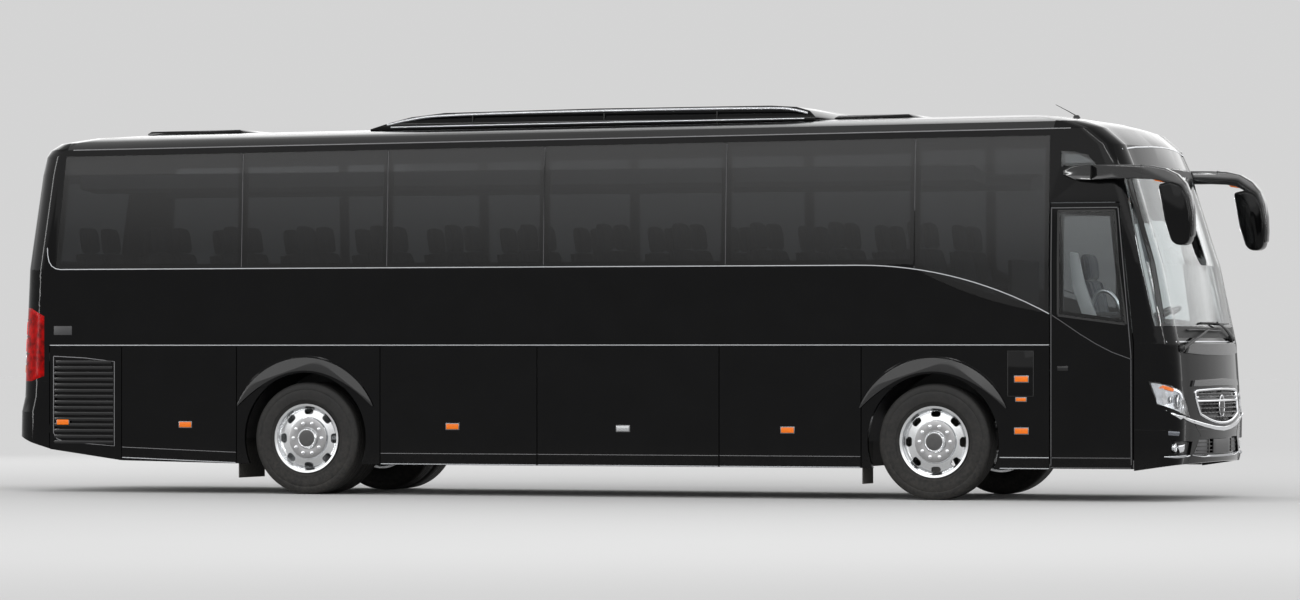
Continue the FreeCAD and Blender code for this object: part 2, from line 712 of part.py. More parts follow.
# ------------------------------------------------------------------------------------------------------
# Rear end
# ------------------------------------------------------------------------------------------------------
rear_zone = zone("rear_zone", [(d.rear_seam, d.rear_bumper_top), (d.rear_seam, d.sill_z),
                               (corner_start("header"), d.header_z),
                               (corner_start("gutter"), gutter_height(corner_start("gutter"))),
                               (ROOF_REAR_SEAM, gutter_height(ROOF_REAR_SEAM)), (ROOF_REAR_SEAM, FAR_TOP),
                               (FAR_REAR, FAR_TOP), (FAR_REAR, d.rear_bumper_top)])
rear_solid = common("rear_solid", shell, rear_zone)
REAR_FACE = -5400
HINGE_LONG = 80
hinge_y = d.hinge_step - d.belt_half
rear_pane_tool = box("rear_pane_tool", (FAR_REAR, REAR_FACE), (-d.rear_pane_half, d.rear_pane_half),
                     (d.rear_pane_foot, d.rear_pane_head))
lid_tool = box("lid_tool", (FAR_REAR, REAR_FACE), (-d.lid_half, d.lid_half), (d.lid_foot, d.lid_head))
lid_block = box("lid_block", (FAR_REAR, REAR_FACE), (d.panel_gap - d.lid_half, d.lid_half - d.panel_gap),
                (d.lid_foot + d.panel_gap, d.lid_head - d.panel_gap))
TAIL_INNER = -985
TAIL_LAMP = ((-5370, 1098), (-5370, 1665), (-5530, 1742), (FAR_REAR, 1742), (FAR_REAR, 1041), (-5540, 1041))
tail_tool = zone("tail_tool", TAIL_LAMP, high=TAIL_INNER)
tail_tools = both_sides("tail_tools", tail_tool)
node("rear_mask", cut("rear_open", rear_solid, rear_pane_tool, lid_tool, tail_tools))
node("tail_lamps", common("tail_solids", rear_solid, tail_tools))
node("rear_window", cut("rear_pane", common("rear_pane_solid", outer_form, rear_pane_tool), pane_form))
LID_HINGE_X = -5753.5
lid_knuckle = cylinder("lid_knuckle", "Y",
                       (LID_HINGE_X, -HINGE_LONG, d.lid_head - d.panel_gap + d.hinge_step),
                       d.panel_gap - d.hinge_step - d.hinge_seat, 2 * HINGE_LONG)
node("engine_lid", fuse("lid_hinged", common("lid_solid", shell, lid_block), lid_knuckle))
REAR_HEM = ((-6200, 560), (-5650, 520), (-5515, 470))
REAR_HEM_START = 412
rear_bumper_zone = zone("rear_bumper_zone", [
    (d.rear_seam, REAR_HEM_START), (d.rear_seam, d.rear_bumper_top), (FAR_REAR,
                                                                      d.rear_bumper_top), *REAR_HEM])
rear_bumper_solid = common("rear_bumper_solid", shell, rear_bumper_zone)
node("rear_bumper", cut("rear_bumper_open", rear_bumper_solid, lid_tool))

# ------------------------------------------------------------------------------------------------------
# Lower side: flaps, doors and fixed panels
# ------------------------------------------------------------------------------------------------------
half_gap = d.panel_gap / 2
SIDE_Y = (-d.belt_half, d.wall - d.belt_half)
SERVICE_RISE, LOUVRE_RISE = 0.018, 0.137


def skirt_height(x):
    """Lower edge of the side, which rises behind the rear arch and more behind the service flap."""
    rise = (d.rear_panel - x) * SERVICE_RISE
    if float(x) < float(d.louvre_front):
        rise = rise + (d.louvre_front - x) * (LOUVRE_RISE - SERVICE_RISE)
    return d.skirt_z + rise


def side_flap(name, rear, front, rising=False):
    """A flat flap between two seams of the right side."""
    rear, front = rear + half_gap, front - half_gap
    foot = (skirt_height(rear), skirt_height(front)) if rising else (d.skirt_z, d.skirt_z)
    return zone(name, [(rear, foot[0]), (front, foot[1]), (front, d.flap_top), (rear, d.flap_top)],
                low=SIDE_Y[0], high=SIDE_Y[1])


def node_each_side(label, thing):
    """The right piece and its mirror image as two sub-parts."""
    node(label + "_right", thing)
    node(label + "_left", mirrored(label + "_mirror", thing))


def hinged_flap(name, rear, front, rising=False):
    """A flap with three hinge knuckles along its upper edge."""
    radius = d.side_foot - d.flap_top - d.hinge_step - d.hinge_seat
    knuckles = [cylinder("%s_knuckle_%d" % (name, number), "X",
                         (rear + (front - rear) * share - HINGE_LONG / 2, hinge_y, d.flap_top + d.hinge_step),
                         radius, HINGE_LONG) for number, share in enumerate((0.15, 0.5, 0.85))]
    return fuse(name, side_flap(name + "_plate", rear, front, rising), *knuckles)


bays = ((d.bay_rear, d.bay_one), (d.bay_one, d.bay_two), (d.bay_two, d.bay_front))
for number, (rear, front) in enumerate(bays, start=1):
    node_each_side("luggage_flap_%d" % number, hinged_flap("bay_flap_%d" % number, rear, front))
node_each_side("service_flap", hinged_flap("service_flap", d.louvre_front, d.rear_panel, True))

LOUVRES, LOUVRE_DEPTH, LOUVRE_SLOT = 15, 24, 0.62
LOUVRE_REAR = (-5257, 600, 1262)
LOUVRE_FRONT = (-4654, 475, 1206)


def louvre_outline(number):
    """One slot of the louvred door, from the foot up."""
    corners = []
    for x, foot, head in (LOUVRE_REAR, LOUVRE_FRONT):
        pitch = (head - foot) / LOUVRES
        low = foot + pitch * number
        corners.append((x, low, low + pitch * LOUVRE_SLOT))
    (rear, rear_low, rear_high), (front, front_low, front_high) = corners
    return [(rear, rear_low), (front, front_low), (front, front_high), (rear, rear_high)]


louvre_slots = zone("louvre_slots", *[louvre_outline(number) for number in range(LOUVRES)],
                    high=LOUVRE_DEPTH - d.belt_half)
louvre_blank = side_flap("louvre_blank", d.louvre_rear - half_gap, d.louvre_front, True)
LOUVRE_HINGES = (560, 1240)
louvre_radius = d.louvre_rear - d.rear_seam - d.hinge_step - d.hinge_seat
louvre_knuckles = [cylinder("louvre_knuckle_%d" % number, "Z",
                            (d.louvre_rear - d.hinge_step, hinge_y, height),
                            louvre_radius, HINGE_LONG) for number, height in enumerate(LOUVRE_HINGES)]
node_each_side("louvre_door", fuse("louvre_hinged", cut("louvre_cut", louvre_blank, louvre_slots),
                                   *louvre_knuckles))


FLARE_BED = 10


def arch_panel(name, rear, front, axle):
    """A fixed panel with its wheel arch and flare."""
    plate = box(name + "_plate", (rear, front), SIDE_Y, (d.skirt_z, d.flap_top))
    face = -d.belt_half - d.flare_proud
    ring = cylinder(name + "_flare", "Y", (axle, face, d.tyre_radius), d.flare_radius,
                    d.flare_proud + FLARE_BED)
    band = box(name + "_band", (axle - d.flare_radius, axle + d.flare_radius),
               (face, FLARE_BED - d.belt_half),
               (d.flare_foot, d.side_foot))
    flared = fuse(name + "_flared", plate, common(name + "_upper", ring, band))
    opening = cylinder(name + "_opening", "Y", (axle, face - OVER, d.tyre_radius), d.arch_radius, d.wall * 2)
    return cut(name, flared, opening)


rear_arch = arch_panel("rear_arch", d.rear_panel + half_gap, d.bay_rear - half_gap, d.rear_axle_x)
front_arch = arch_panel("front_arch", d.bay_front + half_gap, d.door_rear - d.panel_gap, d.front_axle_x)
left_arch = arch_panel("left_arch", d.bay_front + half_gap, d.door_front, d.front_axle_x)
node("lower_panels_right", group("right_arches", rear_arch, front_arch))
node("lower_panels_left", mirrored("left_arches", group("left_arches_solid", rear_arch, left_arch)))

# ------------------------------------------------------------------------------------------------------
# Door, its pane and its arm
# ------------------------------------------------------------------------------------------------------
door_zone = zone("door_zone", [(d.door_rear, d.door_foot), (d.door_front, d.door_foot),
                               (d.door_front, d.door_bend),
                               (d.door_front_top, d.door_top), (d.door_rear, d.door_top)], high=0)
DOOR_PANE = ((4560, 1654), (5168, 1574), (5062, 2570), (4560, 2570))
door_pane_zone = zone("door_pane_zone", DOOR_PANE, high=0)
door_hole_zone = zone("door_hole_zone", shifted(DOOR_PANE, -REBATE), high=0)
door_pane = common("door_pane", pane_layer, door_pane_zone)
node("door_glass", door_pane)
door_plate = common("door_plate", wall_layer, door_zone)
door_framed = cut("door_framed", cut("door_holed", door_plate, door_hole_zone), door_pane)
pin_x, pin_y = d.arm_pivot_x - d.arm_reach_x, -(d.arm_pivot_y + d.arm_reach_y)
ARM_Z, ARM_TALL, LUG_TALL, LUG_HALF, LUG_GAP, LUG_LAP, ARM_HALF = 1130, 30, 26, 24, 3, 5, 14
PIN_RADIUS, POST_RADIUS, POST_PIN = 12, 30, 15
arm_low, arm_high = as_size(ARM_Z - ARM_TALL / 2), as_size(ARM_Z + ARM_TALL / 2)
lug_inner = pin_y + LUG_HALF
lugs = [box("door_lug_" + word, (pin_x - LUG_HALF, pin_x + LUG_HALF), (SIDE_Y[1] - LUG_LAP, lug_inner),
            levels)
        for word, levels in (("low", (arm_low - LUG_GAP - LUG_TALL, arm_low - LUG_GAP)),
                             ("high", (arm_high + LUG_GAP, arm_high + LUG_GAP + LUG_TALL)))]
door_pin = cylinder("door_pin", "Z", (pin_x, pin_y, arm_low - LUG_GAP - LUG_TALL), PIN_RADIUS,
                    ARM_TALL + 2 * (LUG_GAP + LUG_TALL))
node("door_leaf", fuse("door_leaf_solid", door_framed, door_pin, *lugs))

POST_FOOT, POST_TOP = 396, 1180
arm_bar = prism("arm_bar", "XY", [[
    (pin_x, pin_y - ARM_HALF), (d.arm_pivot_x, -d.arm_pivot_y - ARM_HALF),
    (d.arm_pivot_x, -d.arm_pivot_y + ARM_HALF), (pin_x, pin_y + ARM_HALF)]], arm_low, arm_high)
arm_post = cylinder("arm_post", "Z", (d.arm_pivot_x, -d.arm_pivot_y, POST_FOOT), POST_RADIUS,
                    POST_TOP - POST_FOOT)
arm_eye = cylinder("arm_eye", "Z", (pin_x, pin_y, arm_low), LUG_HALF, ARM_TALL)
arm_solid = fuse("arm_solid", arm_bar, arm_post, arm_eye)
post_bore = cylinder("post_bore", "Z", (d.arm_pivot_x, -d.arm_pivot_y, POST_FOOT - OVER),
                     POST_PIN + d.running_gap,
                     POST_TOP - POST_FOOT + 2 * OVER)
eye_bore = cylinder("eye_bore", "Z", (pin_x, pin_y, arm_low - OVER), PIN_RADIUS + d.running_gap,
                    ARM_TALL + 2 * OVER)
node("door_arm", cut("door_arm_solid", arm_solid, post_bore, eye_bore))

# ------------------------------------------------------------------------------------------------------
# Roof pieces
# ------------------------------------------------------------------------------------------------------
def crown_height(x, above=0):
    """Height of the flat middle of the roof, and above it."""
    return d.crown_z + d.roof_rise * x + above


HATCH_GAP, HATCH_THICK, HATCH_HALF, HATCH_SLOPE, KERB = 5, 42, 390, 40, 60
HATCH_KNUCKLE, HATCH_LUG, LUG_DEEP = 9, 14, 25
HATCHES = (("front", 2200, 2946), ("rear", -4700, -3702))
hatch_tools, hatch_lugs = [], []
for word, rear, front in HATCHES:
    low_rear, low_front = crown_height(rear, HATCH_GAP), crown_height(front, HATCH_GAP)
    lid = prism("hatch_" + word, "XZ", [[(rear, low_rear), (front, low_front),
                                         (front, low_front + HATCH_THICK / 2),
                                         (front - HATCH_SLOPE, low_front + HATCH_THICK),
                                         (rear + HATCH_SLOPE, low_rear + HATCH_THICK),
                                         (rear, low_rear + HATCH_THICK / 2)]], -HATCH_HALF, HATCH_HALF)
    axis_z = low_front + HATCH_THICK / 4
    barrel = cylinder("hatch_barrel_" + word, "Y", (front, -HINGE_LONG * 2, axis_z), HATCH_KNUCKLE,
                      HINGE_LONG * 4)
    node("roof_hatch_" + word, fuse("hatch_hinged_" + word, lid, barrel))
    hatch_lugs.append(box("hatch_lug_" + word, (front + OVER, front + HATCH_LUG), (-HINGE_LONG, HINGE_LONG),
                          (axis_z - LUG_DEEP, axis_z - HATCH_KNUCKLE - d.hinge_seat)))
    hatch_tools.append(box("hatch_hole_" + word, (rear + KERB, front - KERB),
                           (KERB - HATCH_HALF, HATCH_HALF - KERB),
                           (d.header_z, FAR_TOP)))
node("roof", fuse("roof_lugged", cut("roof_open", roof_whole, *hatch_tools), *hatch_lugs))
UNIT_HALF = 800
UNIT = ((-2232, 3300), (2142, 3300), (2142, 3470), (2080, 3525), (1950, 3562), (1700, 3578), (0, 3576),
        (-1500, 3556), (-1829, 3520), (-2100, 3450), (-2232, 3412))
UNIT_ACROSS = ((-800, 3300), (800, 3300), (800, 3470), (760, 3535), (640, FAR_TOP), (-640, FAR_TOP),
               (-760, 3535),
               (-800, 3470))
unit_block = prism("unit_block", "XZ", [UNIT], -UNIT_HALF, UNIT_HALF)
unit_across = prism("unit_across", "YZ", [UNIT_ACROSS], FAR_REAR, FAR_FRONT)
node("air_conditioner", cut("unit_seated", common("unit_rounded", unit_block, unit_across), outer_form))

# ------------------------------------------------------------------------------------------------------
# Mirrors
# ------------------------------------------------------------------------------------------------------
MIRROR_ARM = ((4600, 2850), (5420, 2842), (5560, 2800), (5760, 2640), (5838, 2640), (5800, 2760),
              (5680, 2880),
              (5400, 2946), (4600, 2953))
MIRROR_HEAD = ((5520, 2800), (5580, 2485), (5640, 2300), (5690, 2262), (5775, 2262), (5825, 2310), (0, 2400),
               (0, 2640), (5780, 2790))
mirror_head = [(x if x else d.mirror_tip, z) for x, z in MIRROR_HEAD]
ARM_DEEP, HEAD_DEEP = 45, 100
mirror_arm = zone("mirror_arm", MIRROR_ARM, low=-d.mirror_y - ARM_DEEP, high=ARM_DEEP - d.mirror_y)
HEAD_ROUND, HEAD_FOOT, HEAD_TOP = 55, 2262, 2800
mirror_block = zone("mirror_block", mirror_head, low=-d.mirror_y - HEAD_DEEP, high=HEAD_DEEP - d.mirror_y)
mirror_face = prism("mirror_face", "YZ", [[
    (-d.mirror_y - HEAD_DEEP, HEAD_FOOT + HEAD_ROUND, HEAD_ROUND), (HEAD_ROUND - HEAD_DEEP - d.mirror_y,
                                                                    HEAD_FOOT),
    (HEAD_DEEP - HEAD_ROUND - d.mirror_y, HEAD_FOOT, HEAD_ROUND), (HEAD_DEEP - d.mirror_y,
                                                                   HEAD_FOOT + HEAD_ROUND),
    (HEAD_DEEP - d.mirror_y, HEAD_TOP - HEAD_ROUND, HEAD_ROUND), (HEAD_DEEP - HEAD_ROUND - d.mirror_y,
                                                                  HEAD_TOP),
    (HEAD_ROUND - HEAD_DEEP - d.mirror_y, HEAD_TOP, HEAD_ROUND), (-d.mirror_y - HEAD_DEEP,
                                                                  HEAD_TOP - HEAD_ROUND)]],
    d.door_front, FAR_FRONT)
mirror_case = common("mirror_case", mirror_block, mirror_face)
mirror_root = box("mirror_root", (4600, 4720), (-d.mirror_y, -d.gutter_half), (2850, 2953))
mirror = cut("mirror_seated", fuse("mirror_solid", mirror_arm, mirror_case, mirror_root), wall_layer)
node("mirrors", both_sides("mirrors_both", mirror))

# ------------------------------------------------------------------------------------------------------
# Wheels, hubs and axles
# ------------------------------------------------------------------------------------------------------
hub_face = d.tyre_outer - 14
barrel_inner = d.bead_radius - d.barrel_wall
BEARING = 165


def outward(rows):
    """An outline given as (radius, distance from mid-plane), turned to the right side."""
    return [(radius, -as_size(out)) for radius, out in reversed(rows)]


def barrel_rows(face):
    """The outer run of a rim's barrel from its face flange to its inner flange."""
    return [(barrel_inner + 18, face - 5), (d.rim_radius, face), (d.rim_radius, face - 14),
            (d.bead_radius + 11, face - 20), (d.bead_radius, face - 53),
            (d.bead_radius, face - d.tyre_width + 37), (d.rim_radius - 4, face - d.tyre_width + 23),
            (d.rim_radius - 4, face - d.tyre_width + 9), (d.bead_radius, face - d.tyre_width + 9),
            (barrel_inner, face - d.tyre_width + 27)]


face = d.tyre_outer - 7
hub_back = d.tyre_outer - BEARING
spindle_end = hub_face - 40
wheel_rows = [(0, hub_face), (d.cap_radius - 8, hub_face), (d.cap_radius, hub_face - 10),
              (d.cap_radius, hub_face - 28), (d.hub_radius, hub_face - 28), (d.hub_radius + 8, hub_face - 50),
              (barrel_inner - 18, hub_face - 58), (barrel_inner, hub_face - 40)] + barrel_rows(face) + [
    (barrel_inner, hub_face - 86), (barrel_inner - 20, hub_face - 76), (d.hub_radius - 10, hub_face - 72),
    (d.hub_radius - 40, hub_back), (d.spindle_radius + d.running_gap, hub_back),
    (d.spindle_radius + d.running_gap, spindle_end + 5), (0, spindle_end + 5)]
HAND_HOLES = 8
ROUND_SLACK = 0.01  # keeps the arc of a half-round end larger than its chord


def holed(name, solid):
    """The disc with its ring of hand holes."""
    tools = []
    reach = (d.hand_hole_long - d.hand_hole_wide) / 2
    end_radius = d.hand_hole_wide / 2 + ROUND_SLACK
    for number in range(HAND_HOLES):
        slot = prism("%s_hole_%d" % (name, number), "XZ", [[
            (d.hand_hole_circle - d.hand_hole_wide / 2, -reach, end_radius),
            (d.hand_hole_circle + d.hand_hole_wide / 2, -reach),
            (d.hand_hole_circle + d.hand_hole_wide / 2, reach, end_radius),
            (d.hand_hole_circle - d.hand_hole_wide / 2, reach)]], -d.tyre_outer, 0)
        slot.Placement = FreeCAD.Placement(V(), FreeCAD.Rotation(V(0, 1, 0), number * 360 / HAND_HOLES))
        tools.append(slot)
    return cut(name, solid, *tools)


def tyre_rows(shift):
    """A tyre's section; shift moves it inwards."""
    crown, outer, inner = d.tyre_radius, d.tyre_outer - shift, d.tyre_outer - d.tyre_width - shift
    bead = d.bead_radius + d.bead_seat
    return [(bead, outer - 64), (bead + 14, outer - 30), (d.rim_radius + 4, outer - 23),
            (d.rim_radius + 19, outer - 9),
            (d.rim_radius + 100, outer), (crown - 30, outer - 9), (crown - 6, outer - 22), (crown,
                                                                                            outer - 42),
            (crown, inner + 42), (crown - 6, inner + 22), (crown - 30, inner + 9), (d.rim_radius + 100,
                                                                                    inner),
            (d.rim_radius + 19, inner + 9), (d.rim_radius + 4, inner + 23), (bead + 6, inner + 30), (bead,
                                                                                                     inner + 40)]


tyre = revolved("tyre", outward(tyre_rows(0)))
twin_tyre = revolved("twin_tyre", outward(tyre_rows(d.twin_pitch)))
wheel = holed("wheel", revolved("wheel_turned", outward(wheel_rows)))
twin_face = face - d.twin_pitch
SLEEVE, WEB = (118, 140), (62, 46)
twin_rows = [(SLEEVE[0], hub_back + 5), (SLEEVE[1], hub_back + 5), (SLEEVE[1], twin_face - WEB[1]),
             (barrel_inner, twin_face - WEB[1])] + barrel_rows(twin_face) + [
    (barrel_inner, twin_face - WEB[0]), (SLEEVE[0], twin_face - WEB[0])]
twin_rim = revolved("twin_rim", outward(twin_rows))
twin_wheel = fuse("twin_wheel", wheel, twin_rim)
node_each_side("tyre_front", moved("tyre_front", tyre, d.front_axle_x, d.tyre_radius))
node_each_side("wheel_front", moved("wheel_front", wheel, d.front_axle_x, d.tyre_radius))
node_each_side("tyre_rear", moved("tyre_rear", group("twin_tyres", tyre, twin_tyre), d.rear_axle_x,
                                  d.tyre_radius))
node_each_side("wheel_rear", moved("wheel_rear", twin_wheel, d.rear_axle_x, d.tyre_radius))

FORK_GAP, FORK_TALL, FORK_HALF, PLATE_HALF, PLATE = 72, 40, 46, 60, (60, 90)
BEAM_HALF, BEAM_TALL, BEAM_END, EYE_RADIUS, EYE_TALL = 55, 60, 30, 52, 66
axle_z = d.tyre_radius
fork_parts = [box("fork_" + word, (d.front_axle_x - FORK_HALF, d.front_axle_x + FORK_HALF),
                  (-(d.kingpin_y + PLATE[1]), -(d.kingpin_y - FORK_HALF)), levels)
              for word, levels in (("low", (axle_z - FORK_GAP - FORK_TALL, axle_z - FORK_GAP)),
                                   ("high", (axle_z + FORK_GAP, axle_z + FORK_GAP + FORK_TALL)))]
fork_plate = box("fork_plate", (d.front_axle_x - PLATE_HALF, d.front_axle_x + PLATE_HALF),
                 (-(d.kingpin_y + PLATE[1]), -(d.kingpin_y + PLATE[0])),
                 (axle_z - FORK_GAP - FORK_TALL, axle_z + FORK_GAP + FORK_TALL))
kingpin = cylinder("kingpin", "Z", (d.front_axle_x, -d.kingpin_y, axle_z - FORK_GAP - FORK_TALL),
                   d.kingpin_radius,
                   2 * (FORK_GAP + FORK_TALL))
spindle = cylinder("spindle", "Y", (d.front_axle_x, -spindle_end, axle_z), d.spindle_radius,
                   spindle_end - d.kingpin_y - PLATE[0])
node_each_side("knuckle", fuse("knuckle", fork_plate, kingpin, spindle, *fork_parts))

beam = box("beam", (d.front_axle_x - BEAM_HALF, d.front_axle_x + BEAM_HALF),
           (BEAM_END - d.kingpin_y, d.kingpin_y - BEAM_END),
           (axle_z - BEAM_TALL, axle_z + BEAM_TALL))
eye = cylinder("eye", "Z", (d.front_axle_x, -d.kingpin_y, axle_z - EYE_TALL), EYE_RADIUS, 2 * EYE_TALL)
bore = cylinder("bore", "Z", (d.front_axle_x, -d.kingpin_y, axle_z - 2 * EYE_TALL),
                d.kingpin_radius + d.running_gap,
                4 * EYE_TALL)
front_axle = cut("front_axle_bored", fuse("front_axle_solid", beam, both_sides("eyes", eye)),
                 both_sides("bores", bore))
node("front_axle", front_axle)
HOUSING_RADIUS, DIFF_RADIUS, DIFF_HALF = 80, 210, 190
housing_end = hub_back - 10
BAG_RADIUS, SPRING_SEAT = 78, 96
spring_seat = box("spring_seat", (d.rear_axle_x - BAG_RADIUS, d.rear_axle_x + BAG_RADIUS),
                  (-(d.rail_inner + BAG_RADIUS), BAG_RADIUS - d.rail_inner), (axle_z, axle_z + SPRING_SEAT))
rear_axle = fuse(
    "rear_axle_solid", both_sides("spring_seats", spring_seat),
    cylinder("housing", "Y", (d.rear_axle_x, -housing_end, axle_z), HOUSING_RADIUS, housing_end * 2),
    cylinder("differential", "Y", (d.rear_axle_x, -DIFF_HALF, axle_z), DIFF_RADIUS, 2 * DIFF_HALF),
    cylinder("rear_spindle", "Y", (d.rear_axle_x, -spindle_end, axle_z), d.spindle_radius, spindle_end * 2))
node("rear_axle", rear_axle)

# ------------------------------------------------------------------------------------------------------
# Floor, frame, luggage bays and engine
# ------------------------------------------------------------------------------------------------------
floor_y = (d.wall + d.seat_gap - d.belt_half, d.belt_half - d.wall - d.seat_gap)
deck = common("deck", room_form, box("deck_slab", (FAR_REAR, d.cab_rear), floor_y,
                                     (d.deck_top - d.deck_thick, d.deck_top)))
cab_slab = box("cab_slab", (d.cab_rear - d.deck_thick, FAR_FRONT), floor_y,
               (d.cab_top - d.deck_thick, d.cab_top))
cab_floor = common("cab_floor", room_form, cab_slab)
riser = box("riser", (d.cab_rear - d.deck_thick, d.cab_rear), floor_y, (d.cab_top - d.deck_thick, d.deck_top))
WELL_INNER, TREAD, STEPS, FIRST_STEP, TREAD_THICK = 600, 208, 3, 390, 60
STEP_WALL, STEP_DROP, STEP_SLOPE, AISLE_STEP = 40, 450, 80, 260
well = box("well", (d.door_rear - d.panel_gap, d.door_front + d.panel_gap), (-FAR_SIDE, -WELL_INNER),
           (FIRST_STEP, d.cab_top + OVER))
aisle_step = box("aisle_step", (d.cab_rear, d.cab_rear + AISLE_STEP), (-d.aisle_half, d.aisle_half),
                 (d.cab_top, (d.cab_top + d.deck_top) / 2))
SILL_RAIL, SILL_TOP, SILL_START = 35, 1440, 40
wall_face, rail_face = d.belt_half - d.wall, floor_y[1]
sill_rail = prism("sill_rail", "YZ", [[
    (-rail_face, d.deck_top), (SILL_RAIL - rail_face, d.deck_top), (SILL_RAIL - rail_face, SILL_TOP),
    (-wall_face, SILL_TOP), (-wall_face, d.side_foot), (-rail_face, d.side_foot)]],
                  d.rear_seam + SILL_START, d.door_rear - d.panel_gap)
node("floor", fuse("floor_solid", deck, riser, aisle_step, cut("cab_floor_open", cab_floor, well),
                   both_sides("sill_rails", sill_rail)))

step_rise = (d.cab_top - FIRST_STEP) / STEPS
step_rows = [(floor_y[0], as_size(FIRST_STEP - TREAD_THICK)), (floor_y[0], as_size(FIRST_STEP))]
for number in range(1, STEPS):
    tread_y = floor_y[0] + TREAD * number
    step_rows.append((tread_y, FIRST_STEP + step_rise * (number - 1)))
    step_rows.append((tread_y, FIRST_STEP + step_rise * number))
step_rows += [(-WELL_INNER, d.cab_top - step_rise), (-WELL_INNER, d.cab_top - d.deck_thick),
              (STEP_WALL - WELL_INNER, d.cab_top - d.deck_thick), (STEP_WALL - WELL_INNER,
                                                                   d.cab_top - STEP_DROP),
              (floor_y[0] + STEP_SLOPE, FIRST_STEP - TREAD_THICK)]
steps = prism("steps", "YZ", [step_rows], d.door_rear, d.door_front)
PIN_SUNK = 10
post_pin = cylinder("post_pin", "Z", (d.arm_pivot_x, -d.arm_pivot_y, FIRST_STEP - PIN_SUNK), POST_PIN,
                    POST_TOP - FIRST_STEP + PIN_SUNK)
node("entry_steps", fuse("entry_steps_solid", steps, post_pin))

bay_start, bay_end = d.bay_rear + half_gap, d.bay_front - half_gap
bay_slab = box("bay_slab", (bay_start, bay_end), floor_y, (d.bay_floor - d.bay_floor_thick, d.bay_floor))
bay_walls = []
deck_foot = d.deck_top - d.deck_thick
for number, (low, high) in enumerate(((bay_start, bay_start + d.bulkhead),
                                      (d.bay_one - d.bulkhead / 2, d.bay_one + d.bulkhead / 2),
                                      (d.bay_two - d.bulkhead / 2, d.bay_two + d.bulkhead / 2),
                                      (bay_end - d.bulkhead, bay_end))):
    bay_walls.append(box("bay_wall_%d" % number, (low, high), floor_y,
                         (d.bay_floor - d.bay_floor_thick, deck_foot)))
node("luggage_bay", fuse("luggage_bay_solid", bay_slab, *bay_walls))

# Cross-members: name, x, lower face, upper face; carriers reach out to the fixed side panels
rail_top = d.rail_foot + d.rail_tall
FRONT_RAIL_END, REAR_RAIL_END = 5420, -5480
MEMBER, FRAME_LAP = 60, 10
rails = []
for word, low, high in (("front", bay_end, FRONT_RAIL_END), ("rear", REAR_RAIL_END, bay_start)):
    for side, inner in (("left", d.rail_inner), ("right", -d.rail_inner - d.rail_wide)):
        rails.append(box("rail_%s_%s" % (word, side), (low, high), (inner, inner + d.rail_wide),
                         (d.rail_foot, rail_top)))
ENGINE_REAR, ENGINE_FRONT, ENGINE_HALF, ENGINE_FOOT, ENGINE_TOP = -5400, -4200, 400, 430, 1180
MEMBERS = (("a", 2740), ("b", 3880), ("c", 4300), ("d", -2010), ("e", -3372), ("f", -4200), ("g", -5460))
for word, x in MEMBERS:
    rails.append(box("member_" + word, (x, x + MEMBER), (-d.rail_inner, d.rail_inner),
                     (rail_top - MEMBER, rail_top)))
    for side, inner in (("left", d.rail_inner), ("right", -d.rail_inner - MEMBER)):
        top = d.cab_top - d.deck_thick if x > d.cab_rear.value else deck_foot
        rails.append(box("post_%s_%s" % (word, side), (x, x + MEMBER), (inner, inner + MEMBER),
                         (rail_top - FRAME_LAP, top)))
REAR_CARRIER, CARRIER_Z = -3372, (1150, 1210)
CARRIERS = (("a", 2740), ("b", 3880), ("d", -2010), ("e", REAR_CARRIER))
panel_inner = d.belt_half - d.wall
for word, x in CARRIERS:
    rails.append(box("carrier_" + word, (x, x + MEMBER), (-panel_inner, panel_inner), CARRIER_Z))
for word, x, foot in (("front", d.front_axle_x, axle_z + BEAM_TALL),
                      ("rear", d.rear_axle_x, axle_z + SPRING_SEAT)):
    for side, y in (("left", d.rail_inner), ("right", -d.rail_inner)):
        rails.append(cylinder("air_spring_%s_%s" % (word, side), "Z", (x, y, foot), BAG_RADIUS,
                              d.rail_foot + FRAME_LAP - foot))
TOW_RADIUS, TOW_X, TOW_HALF, TOW_TALL, TOW_LAP = 20, 5480, 60, 60, 40
tow_lug = box("tow_lug", (FRONT_RAIL_END - TOW_LAP, TOW_X + TOW_HALF), (-TOW_HALF, TOW_HALF),
              (rail_top - TOW_TALL, rail_top))
tow_beam = box("tow_beam", (FRONT_RAIL_END - MEMBER, FRONT_RAIL_END), (-d.rail_inner, d.rail_inner),
               (rail_top - TOW_TALL, rail_top))
tow_bore = cylinder("tow_bore", "Z", (TOW_X, 0, rail_top - TOW_TALL - OVER), TOW_RADIUS, TOW_TALL + 2 * OVER)
node("underframe", cut("underframe_solid", welded("underframe_weld", rails + [tow_lug, tow_beam]), tow_bore))
node("engine_block", box("engine", (ENGINE_REAR, ENGINE_FRONT), (-ENGINE_HALF, ENGINE_HALF),
                         (ENGINE_FOOT, ENGINE_TOP)))

# ------------------------------------------------------------------------------------------------------
# Seats and driver's place
# ------------------------------------------------------------------------------------------------------
ROWS = 12
DRIVER_SEAT = (4290, 430, 930)


def seat_outline(x, foot):
    """Side view of a seat that faces forward, from the rear of its backrest at x."""
    x, foot = as_size(x), as_size(foot)
    tall = d.seat_tall
    return [(x + 150, foot), (x + 430, foot), (x + 430, foot + 330), (x + 540, foot + 345),
            (x + 545, foot + 450),
            (x + 200, foot + 440), (x + 95, foot + tall - 40), (x + 50, foot + tall), (x, foot + tall - 10),
            (x - 10, foot + tall - 70), (x + 90, foot + 400), (x + 150, foot + 330)]


